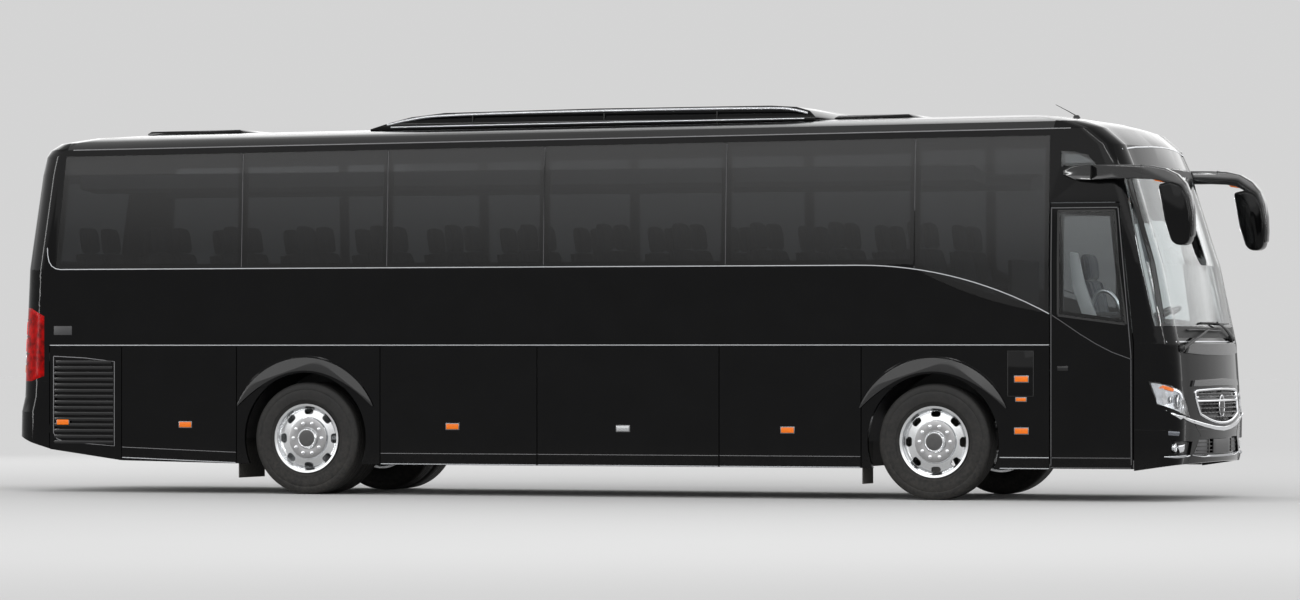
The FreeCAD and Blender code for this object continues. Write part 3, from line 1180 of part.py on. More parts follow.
seat_pair = zone("seat_pair", seat_outline(0, d.deck_top), low=-d.seat_outer, high=-d.aisle_half)
seat_rows = [moved("seat_row_%d" % number, seat_pair,
                   d.seat_rear + d.seat_pitch * number) for number in range(ROWS)]
node("passenger_seats", both_sides("passenger_seats_both", group("seats_right", *seat_rows)))
node("driver_seat", zone("driver_seat_solid", seat_outline(DRIVER_SEAT[0], d.cab_top), low=DRIVER_SEAT[1],
                            high=DRIVER_SEAT[2]))
DASH_SIDES = (-1100, 1180)
DASH = ((5050, 1330), (5330, 990), (6200, 990), (6200, 1500), (5230, 1470), (5060, 1420))
dash_block = zone("dash_block", DASH, low=DASH_SIDES[0], high=DASH_SIDES[1])
dash = common("dash", room_form, dash_block)
STEERING_PLACE, STEERING_TILT = (4960, 680, 1640), -28
STEERING_RADIUS, STEERING_TUBE, COLUMN_RADIUS, COLUMN_LONG, SPOKE_HALF, SPOKE_THICK = 225, 16, 30, 330, 20, 16
steering = doc.addObject("Part::Torus", "steering_rim")
bind(steering, "Radius1", STEERING_RADIUS)
bind(steering, "Radius2", STEERING_TUBE)
column = cylinder("steering_column", "Z", (0, 0, -COLUMN_LONG), COLUMN_RADIUS, COLUMN_LONG)
spoke = box("steering_spoke", (-STEERING_RADIUS, STEERING_RADIUS), (-SPOKE_HALF, SPOKE_HALF),
            (-SPOKE_THICK / 2, SPOKE_THICK / 2))
steering_set = fuse("steering_set", steering, column, spoke)
steering_set.Placement = FreeCAD.Placement(V(*STEERING_PLACE), FreeCAD.Rotation(V(0, 1, 0), STEERING_TILT))
node("dashboard", fuse("dashboard_solid", dash, steering_set))

# ------------------------------------------------------------------------------------------------------
# Wheel housings
# ------------------------------------------------------------------------------------------------------
HOUSING_GAP, HOUSING_SKIN = 30, 12
housing_z = (d.tyre_radius, d.tyre_radius + d.arch_radius + HOUSING_GAP + HOUSING_SKIN)
housing_y = (-rail_face, -(d.rail_inner + d.rail_wide))
inner_radius = d.arch_radius + HOUSING_GAP


def housing(name, axle):
    """The tunnel over a wheel with its wall against the frame rail."""
    reach = inner_radius + HOUSING_SKIN
    drum = cylinder(name + "_drum", "Y", (axle, housing_y[0], d.tyre_radius), reach,
                    housing_y[1] - housing_y[0])
    hollow = cylinder(name + "_hollow", "Y", (axle, housing_y[0] - OVER, d.tyre_radius), inner_radius,
                      housing_y[1] - housing_y[0] - HOUSING_SKIN + OVER)
    upper = box(name + "_upper", (axle - reach, axle + reach), housing_y, housing_z)
    under = box(name + "_under", (axle - inner_radius + HOUSING_SKIN, axle + inner_radius - HOUSING_SKIN),
                (housing_y[1] - HOUSING_SKIN, housing_y[1] + OVER), (0, d.rail_foot))
    return cut(name, common(name + "_shell", cut(name + "_bored", drum, hollow), upper), under)


housings = [housing("housing_front", d.front_axle_x), housing("housing_rear", d.rear_axle_x)]
node("wheel_housings", both_sides("wheel_housings_both", group("housings_right", *housings)))

# ------------------------------------------------------------------------------------------------------
# Mud flaps
# ------------------------------------------------------------------------------------------------------
FLAP_THICK, FLAP_INNER, TWIN_FLAP_INNER = 12, -930, -640
FRONT_FLAP_Z, REAR_FLAP_Z = (140, 640), (150, 1180)
flaps = [box("mud_front", (bay_end, bay_end + FLAP_THICK), (-rail_face, FLAP_INNER), FRONT_FLAP_Z),
         box("mud_rear", (REAR_CARRIER - FLAP_THICK, REAR_CARRIER), (-rail_face, TWIN_FLAP_INNER),
             REAR_FLAP_Z)]
node("mud_flaps", both_sides("mud_flaps_both", group("mud_right", *flaps)))

# ------------------------------------------------------------------------------------------------------
# Check and write
# ------------------------------------------------------------------------------------------------------
doc.recompute()
failed = [thing.Name + ": " + thing.getStatusString() for thing in doc.Objects
          if "Invalid" in thing.State or "Error" in thing.State]
if failed:
    raise RuntimeError("not computed: %s" % ", ".join(failed))
LEAST_CUT = 1
for thing in CUTS:
    if not thing.Shape.Volume < thing.Base.Shape.Volume - LEAST_CUT:
        raise RuntimeError("%s cuts nothing" % thing.Name)
for thing in NODES:
    if thing.Shape.isNull() or not thing.Shape.isValid() or not thing.Shape.Solids:
        raise RuntimeError("%s has no valid solid" % thing.Label)
os.makedirs("parts", exist_ok=True)
for thing in NODES:
    thing.Shape.exportStep(os.path.join("parts", thing.Label + ".step"))
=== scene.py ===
"""The looks of a two-axle touring coach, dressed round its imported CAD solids.

Metres, +X forward, +Y to the left, +Z up, with the origin on the ground at mid-length.
"""
import logging
import math
from dataclasses import dataclass
from enum import Enum
from functools import lru_cache
from typing import Callable, Iterable, Optional, Sequence

import bpy
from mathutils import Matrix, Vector
from mathutils.bvhtree import BVHTree


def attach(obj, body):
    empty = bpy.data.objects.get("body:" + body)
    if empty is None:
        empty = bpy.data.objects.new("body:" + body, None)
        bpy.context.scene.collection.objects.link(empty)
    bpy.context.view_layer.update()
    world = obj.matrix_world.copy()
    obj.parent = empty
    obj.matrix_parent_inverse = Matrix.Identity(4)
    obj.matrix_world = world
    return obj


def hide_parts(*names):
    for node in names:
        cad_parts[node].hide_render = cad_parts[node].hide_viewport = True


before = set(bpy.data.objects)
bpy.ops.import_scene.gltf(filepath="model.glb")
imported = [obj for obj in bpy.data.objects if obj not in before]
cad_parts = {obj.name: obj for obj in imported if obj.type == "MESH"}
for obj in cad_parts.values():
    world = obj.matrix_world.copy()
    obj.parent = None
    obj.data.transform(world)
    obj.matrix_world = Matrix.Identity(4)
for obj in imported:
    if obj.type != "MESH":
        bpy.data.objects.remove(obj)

LOG = logging.getLogger("coach")
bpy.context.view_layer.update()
ROOT = "coach_body"
Point = tuple[float, float, float]
Point2 = tuple[float, float]
Test = Callable[[Vector, Vector], bool]

FRONT_AXLE, REAR_AXLE, AXLE_Z = 3.4, -2.69, 0.522
SIDE_Y, WAIST_Z, EAVES_Z, GUTTER_Z = 1.275, 2.11, 3.0, 3.277
WAIST_LEAN, EAVES_LEAN = 0.035, 0.025
AWAY = 7.0
MERGE_REACH = 0.00005
PANEL_ANGLE = 24.0
FULL_TURN = 2 * math.pi
COAT_ROUGHNESS, GLASS_IOR = 0.02, 1.45


class Side(Enum):
    """The two sides of the coach, by the sign of Y."""

    RIGHT = -1
    LEFT = 1

    @property
    def word(self) -> str:
        """The side's name in piece and body names."""
        return self.name.lower()


class Axis(Enum):
    """A direction that a primitive stands along, as the turn from Z."""

    X = (0.0, math.pi / 2, 0.0)
    Y = (math.pi / 2, 0.0, 0.0)
    Z = (0.0, 0.0, 0.0)


class Grain(Enum):
    """The fine relief of a surface."""

    PAINT = "paint"
    MOULDED = "moulded"
    BRUSHED = "brushed"
    CAST = "cast"
    CLOTH = "cloth"
    SMOOTH = "smooth"


# ------------------------------------------------------------------------------------------------------
# Shader groups and finishes
# ------------------------------------------------------------------------------------------------------
class GroupSketch:
    """A shader node group under construction."""

    def __init__(self, name: str, inputs: Sequence[tuple[str, str, object]],
                 outputs: Sequence[tuple[str, str]]) -> None:
        """Make the group and its sockets.

        Args:
            name: name of the group.
            inputs: socket name, socket type and default of each input.
            outputs: socket name and socket type of each output.
        """
        self.tree = bpy.data.node_groups.new(name, "ShaderNodeTree")
        for label, kind, default in inputs:
            socket = self.tree.interface.new_socket(label, in_out="INPUT", socket_type=kind)
            socket.default_value = default
        for label, kind in outputs:
            self.tree.interface.new_socket(label, in_out="OUTPUT", socket_type=kind)
        self.source = self.tree.nodes.new("NodeGroupInput").outputs
        self.sink = self.tree.nodes.new("NodeGroupOutput").inputs

    def node(self, kind: str, **settings: object) -> bpy.types.Node:
        """A node with its settings.

        Args:
            kind: Blender's name of the node type.
            settings: attributes of the node.

        Returns:
            The node.
        """
        made = self.tree.nodes.new(kind)
        for label, value in settings.items():
            setattr(made, label, value)
        return made

    def feed(self, target: bpy.types.NodeSocket, value: object) -> None:
        """Link a socket to another, or set it to a value."""
        if isinstance(value, bpy.types.NodeSocket):
            self.tree.links.new(value, target)
        else:
            target.default_value = value

    def maths(self, operation: str, first: object, second: object = 0.0,
              third: object = 0.0) -> bpy.types.NodeSocket:
        """The result of a Math node.

        Args:
            operation: what the node does.
            first: a socket or number.
            second: a socket or number.
            third: a socket or number.

        Returns:
            The value socket.
        """
        made = self.node("ShaderNodeMath", operation=operation)
        for target, value in zip(made.inputs, (first, second, third)):
            self.feed(target, value)
        return made.outputs[0]

    def noise(self, where: bpy.types.NodeSocket, scale: object, detail: float = 3.0) -> bpy.types.NodeSocket:
        """The factor of a Noise node at a place."""
        made = self.node("ShaderNodeTexNoise")
        self.feed(made.inputs["Vector"], where)
        self.feed(made.inputs["Scale"], scale)
        made.inputs["Detail"].default_value = detail
        return made.outputs["Fac"]

    def span(self, value: bpy.types.NodeSocket, low: object, high: object) -> bpy.types.NodeSocket:
        """A value mapped from low..high onto 0..1."""
        made = self.node("ShaderNodeMapRange", clamp=True)
        self.feed(made.inputs["Value"], value)
        self.feed(made.inputs["From Min"], low)
        self.feed(made.inputs["From Max"], high)
        return made.outputs["Result"]

    def blend(self, factor: object, first: object, second: object) -> bpy.types.NodeSocket:
        """A mix of two colours."""
        made = self.node("ShaderNodeMix", data_type="RGBA")
        self.feed(made.inputs["Factor"], factor)
        self.feed(made.inputs[6], first)
        self.feed(made.inputs[7], second)
        return made.outputs[2]


def surface_group() -> bpy.types.NodeTree:
    """Colour variation, road dust towards the ground, and roughness.

    Returns:
        The group "Road wear".
    """
    floats, colours = "NodeSocketFloat", "NodeSocketColor"
    g = GroupSketch("Road wear",
                    (("Colour", colours, (1, 1, 1, 1)), ("Shade", colours, (0, 0, 0, 1)),
                     ("Dust colour", colours, (0.2, 0.18, 0.15, 1)), ("Patch scale", floats, 3.0),
                     ("Patches", floats, 0.3), ("Dust", floats, 0.2), ("Dust top", floats, 1.0),
                     ("Roughness", floats, 0.3), ("Roughness spread", floats, 0.1)),
                    (("Colour", colours), ("Roughness", floats)))
    where = g.node("ShaderNodeTexCoord").outputs["Object"]
    split = g.node("ShaderNodeSeparateXYZ")
    g.feed(split.inputs[0], where)
    patches = g.noise(where, g.source["Patch scale"], 5.0)
    cloud = g.span(patches, 0.35, 0.7)
    base = g.blend(g.maths("MULTIPLY", cloud, g.source["Patches"]), g.source["Colour"], g.source["Shade"])
    low = g.maths("SUBTRACT", 1.0, g.span(split.outputs["Z"], 0.1, g.source["Dust top"]))
    speck = g.span(g.noise(where, 38.0, 6.0), 0.3, 0.75)
    dust = g.maths("MULTIPLY", g.maths("MULTIPLY", low, speck), g.source["Dust"])
    g.feed(g.sink["Colour"], g.blend(dust, base, g.source["Dust colour"]))
    rough = g.maths("MULTIPLY_ADD", patches, g.source["Roughness spread"], g.source["Roughness"])
    g.feed(g.sink["Roughness"], g.maths("ADD", rough, g.maths("MULTIPLY", dust, 0.4)))
    return g.tree


def relief_group() -> bpy.types.NodeTree:
    """Heights of the fine reliefs: a pebble grain, brushed lines and a woven cloth.

    Returns:
        The group "Fine relief".
    """
    floats = "NodeSocketFloat"
    g = GroupSketch("Fine relief", (("Scale", floats, 300.0),),
                    (("Pebble", floats), ("Brushed", floats), ("Weave", floats)))
    where = g.node("ShaderNodeTexCoord").outputs["Object"]
    g.feed(g.sink["Pebble"], g.noise(where, g.source["Scale"], 2.0))
    stretch = g.node("ShaderNodeMapping")
    g.feed(stretch.inputs["Vector"], where)
    stretch.inputs["Scale"].default_value = (1.0, 0.04, 1.0)
    g.feed(g.sink["Brushed"], g.noise(stretch.outputs[0], g.source["Scale"], 4.0))
    split = g.node("ShaderNodeSeparateXYZ")
    g.feed(split.inputs[0], where)
    waves = []
    for letter in ("X", "Y", "Z"):
        angle = g.maths("MULTIPLY", split.outputs[letter], g.source["Scale"])
        waves.append(g.maths("SINE", angle))
    woven = g.maths("MULTIPLY", g.maths("MULTIPLY", waves[0], waves[1]), 0.5)
    g.feed(g.sink["Weave"], g.maths("MULTIPLY_ADD", waves[2], 0.5, woven))
    return g.tree


ROAD_WEAR = surface_group()
FINE_RELIEF = relief_group()
RELIEF_OUTPUT = {Grain.PAINT: "Pebble", Grain.MOULDED: "Pebble", Grain.CAST: "Pebble",
                 Grain.BRUSHED: "Brushed", Grain.CLOTH: "Weave"}


@dataclass(frozen=True)
class Finish:
    """An opaque or glassy surface and the way it wears."""

    name: str
    colour: Point
    shade: Point = (0.0, 0.0, 0.0)
    patches: float = 0.3
    patch_scale: float = 3.0
    roughness: float = 0.4
    spread: float = 0.1
    metallic: float = 0.0
    coat: float = 0.0
    specular: float = 0.5
    sheen: float = 0.0
    grain: Grain = Grain.SMOOTH
    grain_scale: float = 300.0
    grain_height: float = 0.0
    dust: float = 0.1
    dust_top: float = 0.9
    clear: float = 0.0
    glow: float = 0.0

    def material(self) -> bpy.types.Material:
        """The finish as a material, made once.

        Returns:
            The material of this name.
        """
        known = bpy.data.materials.get(self.name)
        if known:
            return known
        made = bpy.data.materials.new(self.name)
        made.use_nodes = True
        nodes, links = made.node_tree.nodes, made.node_tree.links
        nodes.clear()
        out = nodes.new("ShaderNodeOutputMaterial")
        skin = nodes.new("ShaderNodeBsdfPrincipled")
        wear = nodes.new("ShaderNodeGroup")
        wear.node_tree = ROAD_WEAR
        values = {"Colour": (*self.colour, 1.0), "Shade": (*self.shade, 1.0), "Patch scale": self.patch_scale,
                  "Patches": self.patches, "Dust": self.dust, "Dust top": self.dust_top,
                  "Roughness": self.roughness, "Roughness spread": self.spread}
        for label, value in values.items():
            wear.inputs[label].default_value = value
        links.new(wear.outputs["Colour"], skin.inputs["Base Color"])
        links.new(wear.outputs["Roughness"], skin.inputs["Roughness"])
        fixed = {"Metallic": self.metallic, "Coat Weight": self.coat, "Coat Roughness": COAT_ROUGHNESS,
                 "Specular IOR Level": self.specular, "Sheen Weight": self.sheen, "IOR": GLASS_IOR,
                 "Transmission Weight": self.clear}
        if self.glow:
            fixed.update({"Emission Color": (*self.colour, 1.0), "Emission Strength": self.glow})
        for label, value in fixed.items():
            skin.inputs[label].default_value = value
        if self.grain is not Grain.SMOOTH:
            relief = nodes.new("ShaderNodeGroup")
            relief.node_tree = FINE_RELIEF
            relief.inputs["Scale"].default_value = self.grain_scale
            bump = nodes.new("ShaderNodeBump")
            bump.inputs["Strength"].default_value = 1.0
            bump.inputs["Distance"].default_value = self.grain_height
            links.new(relief.outputs[RELIEF_OUTPUT[self.grain]], bump.inputs["Height"])
            links.new(bump.outputs["Normal"], skin.inputs["Normal"])
        shader = skin.outputs[0]
        if self.clear:
            path, through = nodes.new("ShaderNodeLightPath"), nodes.new("ShaderNodeBsdfTransparent")
            through.inputs["Color"].default_value = (*self.colour, 1.0)
            pick = nodes.new("ShaderNodeMixShader")
            links.new(path.outputs["Is Shadow Ray"], pick.inputs["Fac"])
            links.new(shader, pick.inputs[1])
            links.new(through.outputs[0], pick.inputs[2])
            shader = pick.outputs[0]
        links.new(shader, out.inputs["Surface"])
        return made


BLACK_PAINT = Finish("Gloss black paint", (0.0022, 0.0022, 0.0024), (0.004, 0.004, 0.0043), patches=0.4,
                     roughness=0.05, spread=0.03, specular=0.16, grain=Grain.PAINT, grain_scale=55.0,
                     grain_height=0.00003, dust=0.03, dust_top=0.5)
ROOF_PAINT = Finish("Gloss roof paint", (0.004, 0.004, 0.0042), (0.006, 0.006, 0.0063), patches=0.4,
                    roughness=0.13, spread=0.03, specular=0.6, dust=0.03, dust_top=0.5)
RELIEF_PAINT = Finish("Gloss black trim", (0.005, 0.005, 0.0053), (0.009, 0.009, 0.0095), patches=0.4,
                      roughness=0.12, spread=0.05, specular=0.45, dust=0.05, dust_top=0.5)
SATIN_BLACK = Finish("Satin black plastic", (0.012, 0.012, 0.013), (0.02, 0.02, 0.021), roughness=0.38,
                     grain=Grain.MOULDED, grain_scale=900.0, grain_height=0.0002, dust=0.15)
SEAM_BLACK = Finish("Black sealant", (0.006, 0.006, 0.006), (0.012, 0.012, 0.012), roughness=0.55, dust=0.1)
TINTED_GLASS = Finish("Tinted side glass", (0.13, 0.135, 0.14), (0.11, 0.115, 0.12), roughness=0.0,
                      spread=0.0, specular=0.3, dust=0.0, clear=1.0)
CLEAR_GLASS = Finish("Windscreen glass", (0.86, 0.9, 0.9), (0.82, 0.87, 0.87), roughness=0.0, spread=0.0,
                     dust=0.0, clear=1.0)
SCREEN_GLASS = Finish("Shaded windscreen glass", (0.7, 0.74, 0.745), (0.66, 0.7, 0.705), roughness=0.0,
                      spread=0.0, dust=0.0, clear=1.0)
LENS_GLASS = Finish("Lamp lens", (0.95, 0.96, 0.97), (0.92, 0.93, 0.95), roughness=0.0, spread=0.0, dust=0.0,
                    clear=1.0)
ARM_BLACK = Finish("Mirror arm gloss", (0.004, 0.004, 0.0042), (0.007, 0.007, 0.0073), patches=0.4,
                   roughness=0.09, spread=0.03, specular=1.0, dust=0.0)
LIP_BLACK = Finish("Arch lip paint", (0.011, 0.011, 0.0113), (0.016, 0.016, 0.0165), patches=0.4,
                   roughness=0.16, spread=0.05, specular=0.6, dust=0.03, dust_top=0.5)
# Gloss black lightened to a dark grey: painted sheen for the light from above that the front ledges reflect.
LEDGE_PAINTED_SHEEN = Finish("Ledge paint", (0.05, 0.05, 0.051), (0.065, 0.065, 0.067), patches=0.4, roughness=0.15,
                     spread=0.05, specular=1.0, dust=0.03, dust_top=0.5)
DIM_EDGE = Finish("Grey edge trim", (0.2, 0.2, 0.205), (0.14, 0.14, 0.145), roughness=0.34, metallic=0.9,
                  dust=0.05)
# Grey metal lines: trim between the panes, and round the door leaf a painted highlight of its gap edges.
FAINT_EDGE = Finish("Dark edge trim", (0.085, 0.085, 0.088), (0.06, 0.06, 0.062), roughness=0.34,
                    metallic=0.9, dust=0.05)
SILVER_LINE = Finish("Satin silver trim", (0.52, 0.53, 0.55), (0.4, 0.41, 0.42), roughness=0.28, metallic=1.0,
                     grain=Grain.BRUSHED, grain_scale=160.0, grain_height=0.0001, dust=0.05)
CHROME = Finish("Polished chrome", (0.78, 0.79, 0.81), (0.66, 0.67, 0.69), roughness=0.06, spread=0.05,
                metallic=1.0, dust=0.04)
ALLOY = Finish("Polished alloy", (0.72, 0.73, 0.74), (0.56, 0.57, 0.58), roughness=0.13, spread=0.12,
               metallic=1.0, patch_scale=9.0, grain=Grain.BRUSHED, grain_scale=120.0, grain_height=0.0001,
               dust=0.12)
SATIN_STEEL = Finish("Machined hub steel", (0.34, 0.34, 0.345), (0.22, 0.22, 0.225), roughness=0.34,
                     metallic=1.0, patch_scale=14.0, grain=Grain.BRUSHED, grain_scale=240.0,
                     grain_height=0.0002, dust=0.2)
TYRE_RUBBER = Finish("Tyre rubber", (0.008, 0.008, 0.0083), (0.016, 0.0155, 0.015), patches=0.7,
                     patch_scale=7.0, roughness=0.6, specular=0.35, grain=Grain.MOULDED, grain_scale=420.0,
                     grain_height=0.0005, dust=0.12, dust_top=1.3)
SOFT_RUBBER = Finish("Black rubber", (0.012, 0.012, 0.012), (0.02, 0.02, 0.02), roughness=0.6,
                     grain=Grain.MOULDED, grain_scale=500.0, grain_height=0.0003, dust=0.35)
CHASSIS = Finish("Chassis paint", (0.022, 0.022, 0.024), (0.045, 0.042, 0.038), patches=0.6, roughness=0.5,
                 grain=Grain.CAST, grain_scale=180.0, grain_height=0.0006, dust=0.4, dust_top=1.2)
CASTING = Finish("Cast iron", (0.035, 0.034, 0.033), (0.075, 0.06, 0.05), patches=0.7, patch_scale=11.0,
                 roughness=0.6, metallic=0.4, grain=Grain.CAST, grain_scale=220.0, grain_height=0.001,
                 dust=0.4, dust_top=1.2)
VINYL = Finish("Floor vinyl", (0.075, 0.077, 0.082), (0.11, 0.11, 0.115), patches=0.6, patch_scale=60.0,
               roughness=0.5, grain=Grain.MOULDED, grain_scale=700.0, grain_height=0.0004, dust=0.0)
SEAT_CLOTH = Finish("Woven seat cloth", (0.022, 0.024, 0.034), (0.06, 0.065, 0.085), patches=0.8,
                    patch_scale=24.0, roughness=0.85, sheen=0.25, grain=Grain.CLOTH, grain_scale=1900.0,
                    grain_height=0.0008, dust=0.0)
SEAT_SHELL = Finish("Seat shell plastic", (0.05, 0.05, 0.055), (0.075, 0.075, 0.08), roughness=0.45,
                    grain=Grain.MOULDED, grain_scale=800.0, grain_height=0.0003, dust=0.0)
DASH_PLASTIC = Finish("Dashboard plastic", (0.014, 0.0145, 0.016), (0.024, 0.024, 0.026), roughness=0.6,
                      grain=Grain.MOULDED, grain_scale=650.0, grain_height=0.0006, dust=0.0)
LINING = Finish("Interior lining", (0.3, 0.3, 0.31), (0.24, 0.24, 0.25), roughness=0.7, grain=Grain.CLOTH,
                grain_scale=1300.0, grain_height=0.0004, dust=0.0)
RED_LENS = Finish("Red lens", (0.38, 0.0012, 0.001), (0.05, 0.0003, 0.0003), patches=1.0, patch_scale=16.0,
                  roughness=0.2, spread=0.05, specular=0.1, dust=0.0, glow=0.12)
BRIGHT_RED = Finish("Lit red lens", (0.75, 0.02, 0.01), (0.5, 0.01, 0.006), patches=0.5, patch_scale=50.0,
                    roughness=0.2, specular=0.4, dust=0.0, glow=0.35)
AMBER_LENS = Finish("Amber lens", (0.8, 0.17, 0.004), (0.55, 0.09, 0.002), patches=0.4, patch_scale=60.0,
                    roughness=0.22, spread=0.05, coat=0.15, specular=0.3, dust=0.02, glow=0.12)
CAP_GREY = Finish("Cap enamel", (0.06, 0.06, 0.061), (0.04, 0.04, 0.041), roughness=0.3, patch_scale=20.0,
                  dust=0.15)
# Grey of the bumper's mesh panels; on the door's crease the same grey is a painted highlight.
GREY_MESH_AND_CREASE_HIGHLIGHT = Finish("Grey mesh panel", (0.075, 0.076, 0.08), (0.05, 0.05, 0.053), roughness=0.42,
                   grain=Grain.MOULDED, grain_scale=700.0, grain_height=0.0004, dust=0.1)
GREY_LENS = Finish("Grey reflector", (0.5, 0.51, 0.52), (0.35, 0.36, 0.37), roughness=0.16, metallic=0.6,
                   dust=0.1)
LAMP_BOWL = Finish("Lamp reflector", (0.62, 0.63, 0.65), (0.36, 0.37, 0.38), patches=0.6, roughness=0.16,
                   spread=0.1, metallic=0.9, patch_scale=26.0, dust=0.0)
MIRROR_SILVER = Finish("Mirror silver", (0.82, 0.83, 0.84), (0.78, 0.79, 0.8), roughness=0.02, spread=0.01,
                       metallic=1.0, dust=0.02)
DARK_PLATE = Finish("Blank dark plate", (0.04, 0.04, 0.042), (0.028, 0.028, 0.029), roughness=0.4, dust=0.1)
LED_BAR = Finish("Daylight bar", (0.85, 0.87, 0.9), (0.7, 0.72, 0.75), roughness=0.2, dust=0.0, glow=0.5)
LAMP_EYE = Finish("Lamp eye", (0.16, 0.17, 0.19), (0.08, 0.08, 0.09), roughness=0.05, spread=0.02,
                  metallic=0.7, dust=0.0)
LENS_BRIGHT = Finish("Clear lamp glass", (0.7, 0.72, 0.74), (0.5, 0.52, 0.54), roughness=0.08, metallic=0.6,
                     dust=0.05, patch_scale=50.0)
PLATE_WHITE = Finish("Blank plate", (0.6, 0.6, 0.6), (0.5, 0.5, 0.5), roughness=0.4, dust=0.1)


# ------------------------------------------------------------------------------------------------------
# Modelling
# ------------------------------------------------------------------------------------------------------
def deselect() -> None:
    """Leave nothing selected, in object mode."""
    if bpy.context.object and bpy.context.object.mode != "OBJECT":
        bpy.ops.object.mode_set(mode="OBJECT")
    bpy.ops.object.select_all(action="DESELECT")


def only(thing: bpy.types.Object) -> bpy.types.Object:
    """Select one object and make it the active one."""
    deselect()
    thing.select_set(True)
    bpy.context.view_layer.objects.active = thing
    return thing


def named(name: str) -> bpy.types.Object:
    """The object an operator has just made, under its new name."""
    thing = bpy.context.object
    thing.name = name
    thing.data.name = name
    return thing


def rest(thing: bpy.types.Object) -> bpy.types.Object:
    """Put an object's place and turn into its mesh."""
    only(thing)
    bpy.ops.object.transform_apply(location=True, rotation=True, scale=True)
    return thing


def edit(thing: bpy.types.Object, mode: str = "VERT") -> None:
    """Go into edit mode on one object with nothing selected."""
    only(thing)
    bpy.ops.object.mode_set(mode="EDIT")
    bpy.ops.mesh.select_mode(type=mode)
    bpy.ops.mesh.select_all(action="DESELECT")


def leave() -> None:
    """Go back to object mode."""
    bpy.ops.object.mode_set(mode="OBJECT")


def turn_out(merge: bool = False) -> None:
    """Turn the edited mesh's faces out, after merging its doubles if asked, and leave edit mode."""
    bpy.ops.mesh.select_all(action="SELECT")
    if merge:
        bpy.ops.mesh.remove_doubles(threshold=MERGE_REACH)
    bpy.ops.mesh.normals_make_consistent(inside=False)
    leave()


def applied(thing: bpy.types.Object, kind: str, **settings: object) -> bpy.types.Object:
    """Give an object a modifier and apply it.

    Args:
        thing: the object.
        kind: Blender's name of the modifier's type.
        settings: attributes of the modifier.

    Returns:
        The object.
    """
    only(thing)
    change = thing.modifiers.new(kind.title(), kind)
    for label, value in settings.items():
        setattr(change, label, value)
    bpy.ops.object.modifier_apply(modifier=change.name)
    return thing


def bevelled(thing: bpy.types.Object, width: float, segments: int = 2,
             angle: float = 30.0) -> bpy.types.Object:
    """Round an object's sharp edges.

    Args:
        thing: the object.
        width: width of the bevel.
        segments: its segments.
        angle: least angle of an edge, in degrees.

    Returns:
        The object.
    """
    if width <= 0:
        return thing
    return applied(thing, "BEVEL", width=width, segments=segments, limit_method="ANGLE",
                   angle_limit=math.radians(angle), harden_normals=False)


def block(name: str, low: Point, high: Point, bevel: float = 0.002, segments: int = 2) -> bpy.types.Object:
    """A box with rounded edges.

    Args:
        name: name of the piece.
        low: its low corner.
        high: its high corner.
        bevel: width of its bevels.
        segments: segments of each bevel.

    Returns:
        The object.
    """
    deselect()
    middle = [(a + b) / 2 for a, b in zip(low, high)]
    bpy.ops.mesh.primitive_cube_add(size=1.0, location=middle, scale=[abs(b - a) for a, b in zip(low, high)])
    return bevelled(rest(named(name)), bevel, segments)


def drum(name: str, centre: Point, radius: float, length: float, axis: Axis = Axis.Y, bevel: float = 0.002,
         vertices: int = 48, top: Optional[float] = None) -> bpy.types.Object:
    """A round piece, or a cone where its top differs.

    Args:
        name: name of the piece.
        centre: its middle.
        radius: its radius.
        length: its length along the axis.
        axis: the axis it stands along.
        bevel: width of its bevels.
        vertices: corners of its rims.
        top: radius of the other end.

    Returns:
        The object.
    """
    deselect()
    bpy.ops.mesh.primitive_cone_add(vertices=vertices, radius1=radius, radius2=radius if top is None else top,
                                    depth=length, location=centre, rotation=axis.value)
    return bevelled(rest(named(name)), bevel)


def hoop(name: str, centre: Point, radius: float, thick: float, axis: Axis = Axis.Y,
         steps: int = 64) -> bpy.types.Object:
    """A ring of round section."""
    deselect()
    bpy.ops.mesh.primitive_torus_add(location=centre, rotation=axis.value, major_radius=radius,
                                     minor_radius=thick, major_segments=steps, minor_segments=12)
    return rest(named(name))


# ------------------------------------------------------------------------------------------------------
# Outlines
# ------------------------------------------------------------------------------------------------------
def box_outline(across: float, up: float, half_long: float, half_tall: float) -> list[Point2]:
    """The corners of an upright rectangle about its middle."""
    return [(across - half_long, up - half_tall), (across + half_long, up - half_tall),
            (across + half_long, up + half_tall), (across - half_long, up + half_tall)]


def flipped(side: Side, outline: Sequence[Point2]) -> list[Point2]:
    """An outline of the left side, as (y, z), on either side."""
    return [(side.value * across, up) for across, up in outline]


def band(path: Sequence[Point2], width: float, ends: float = 1.0) -> list[Point2]:
    """The outline of a strip along a path, with its ends narrowed by a factor."""
    upper, lower = [], []
    for number, (across, up) in enumerate(path):
        before, after = path[max(number - 1, 0)], path[min(number + 1, len(path) - 1)]
        along = Vector((after[0] - before[0], after[1] - before[1])).normalized()
        half = width / 2 * (ends if number in (0, len(path) - 1) else 1.0)
        upper.append((across - along.y * half, up + along.x * half))
        lower.append((across + along.y * half, up - along.x * half))
    return upper + lower[::-1]


def both(path: Sequence[Point2]) -> list[Point2]:
    """A path from one side to the middle, carried on to the other side."""
    other = [(-across, up) for across, up in reversed(path)]
    return list(path) + other[1 if abs(path[-1][0]) < 1e-6 else 0:]


def eased(outline: Sequence[Point2], reach: float) -> list[Point2]:
    """An outline with its corners cut round, twice over."""
    path = list(outline)
    for length in (reach, reach / 2.5):
        cut = []
        for start, end in zip(path, path[1:] + path[:1]):
            share = min(0.3, length / math.dist(start, end))
            for part in (share, 1.0 - share):
                cut.append((start[0] + (end[0] - start[0]) * part, start[1] + (end[1] - start[1]) * part))
        path = cut
    return path


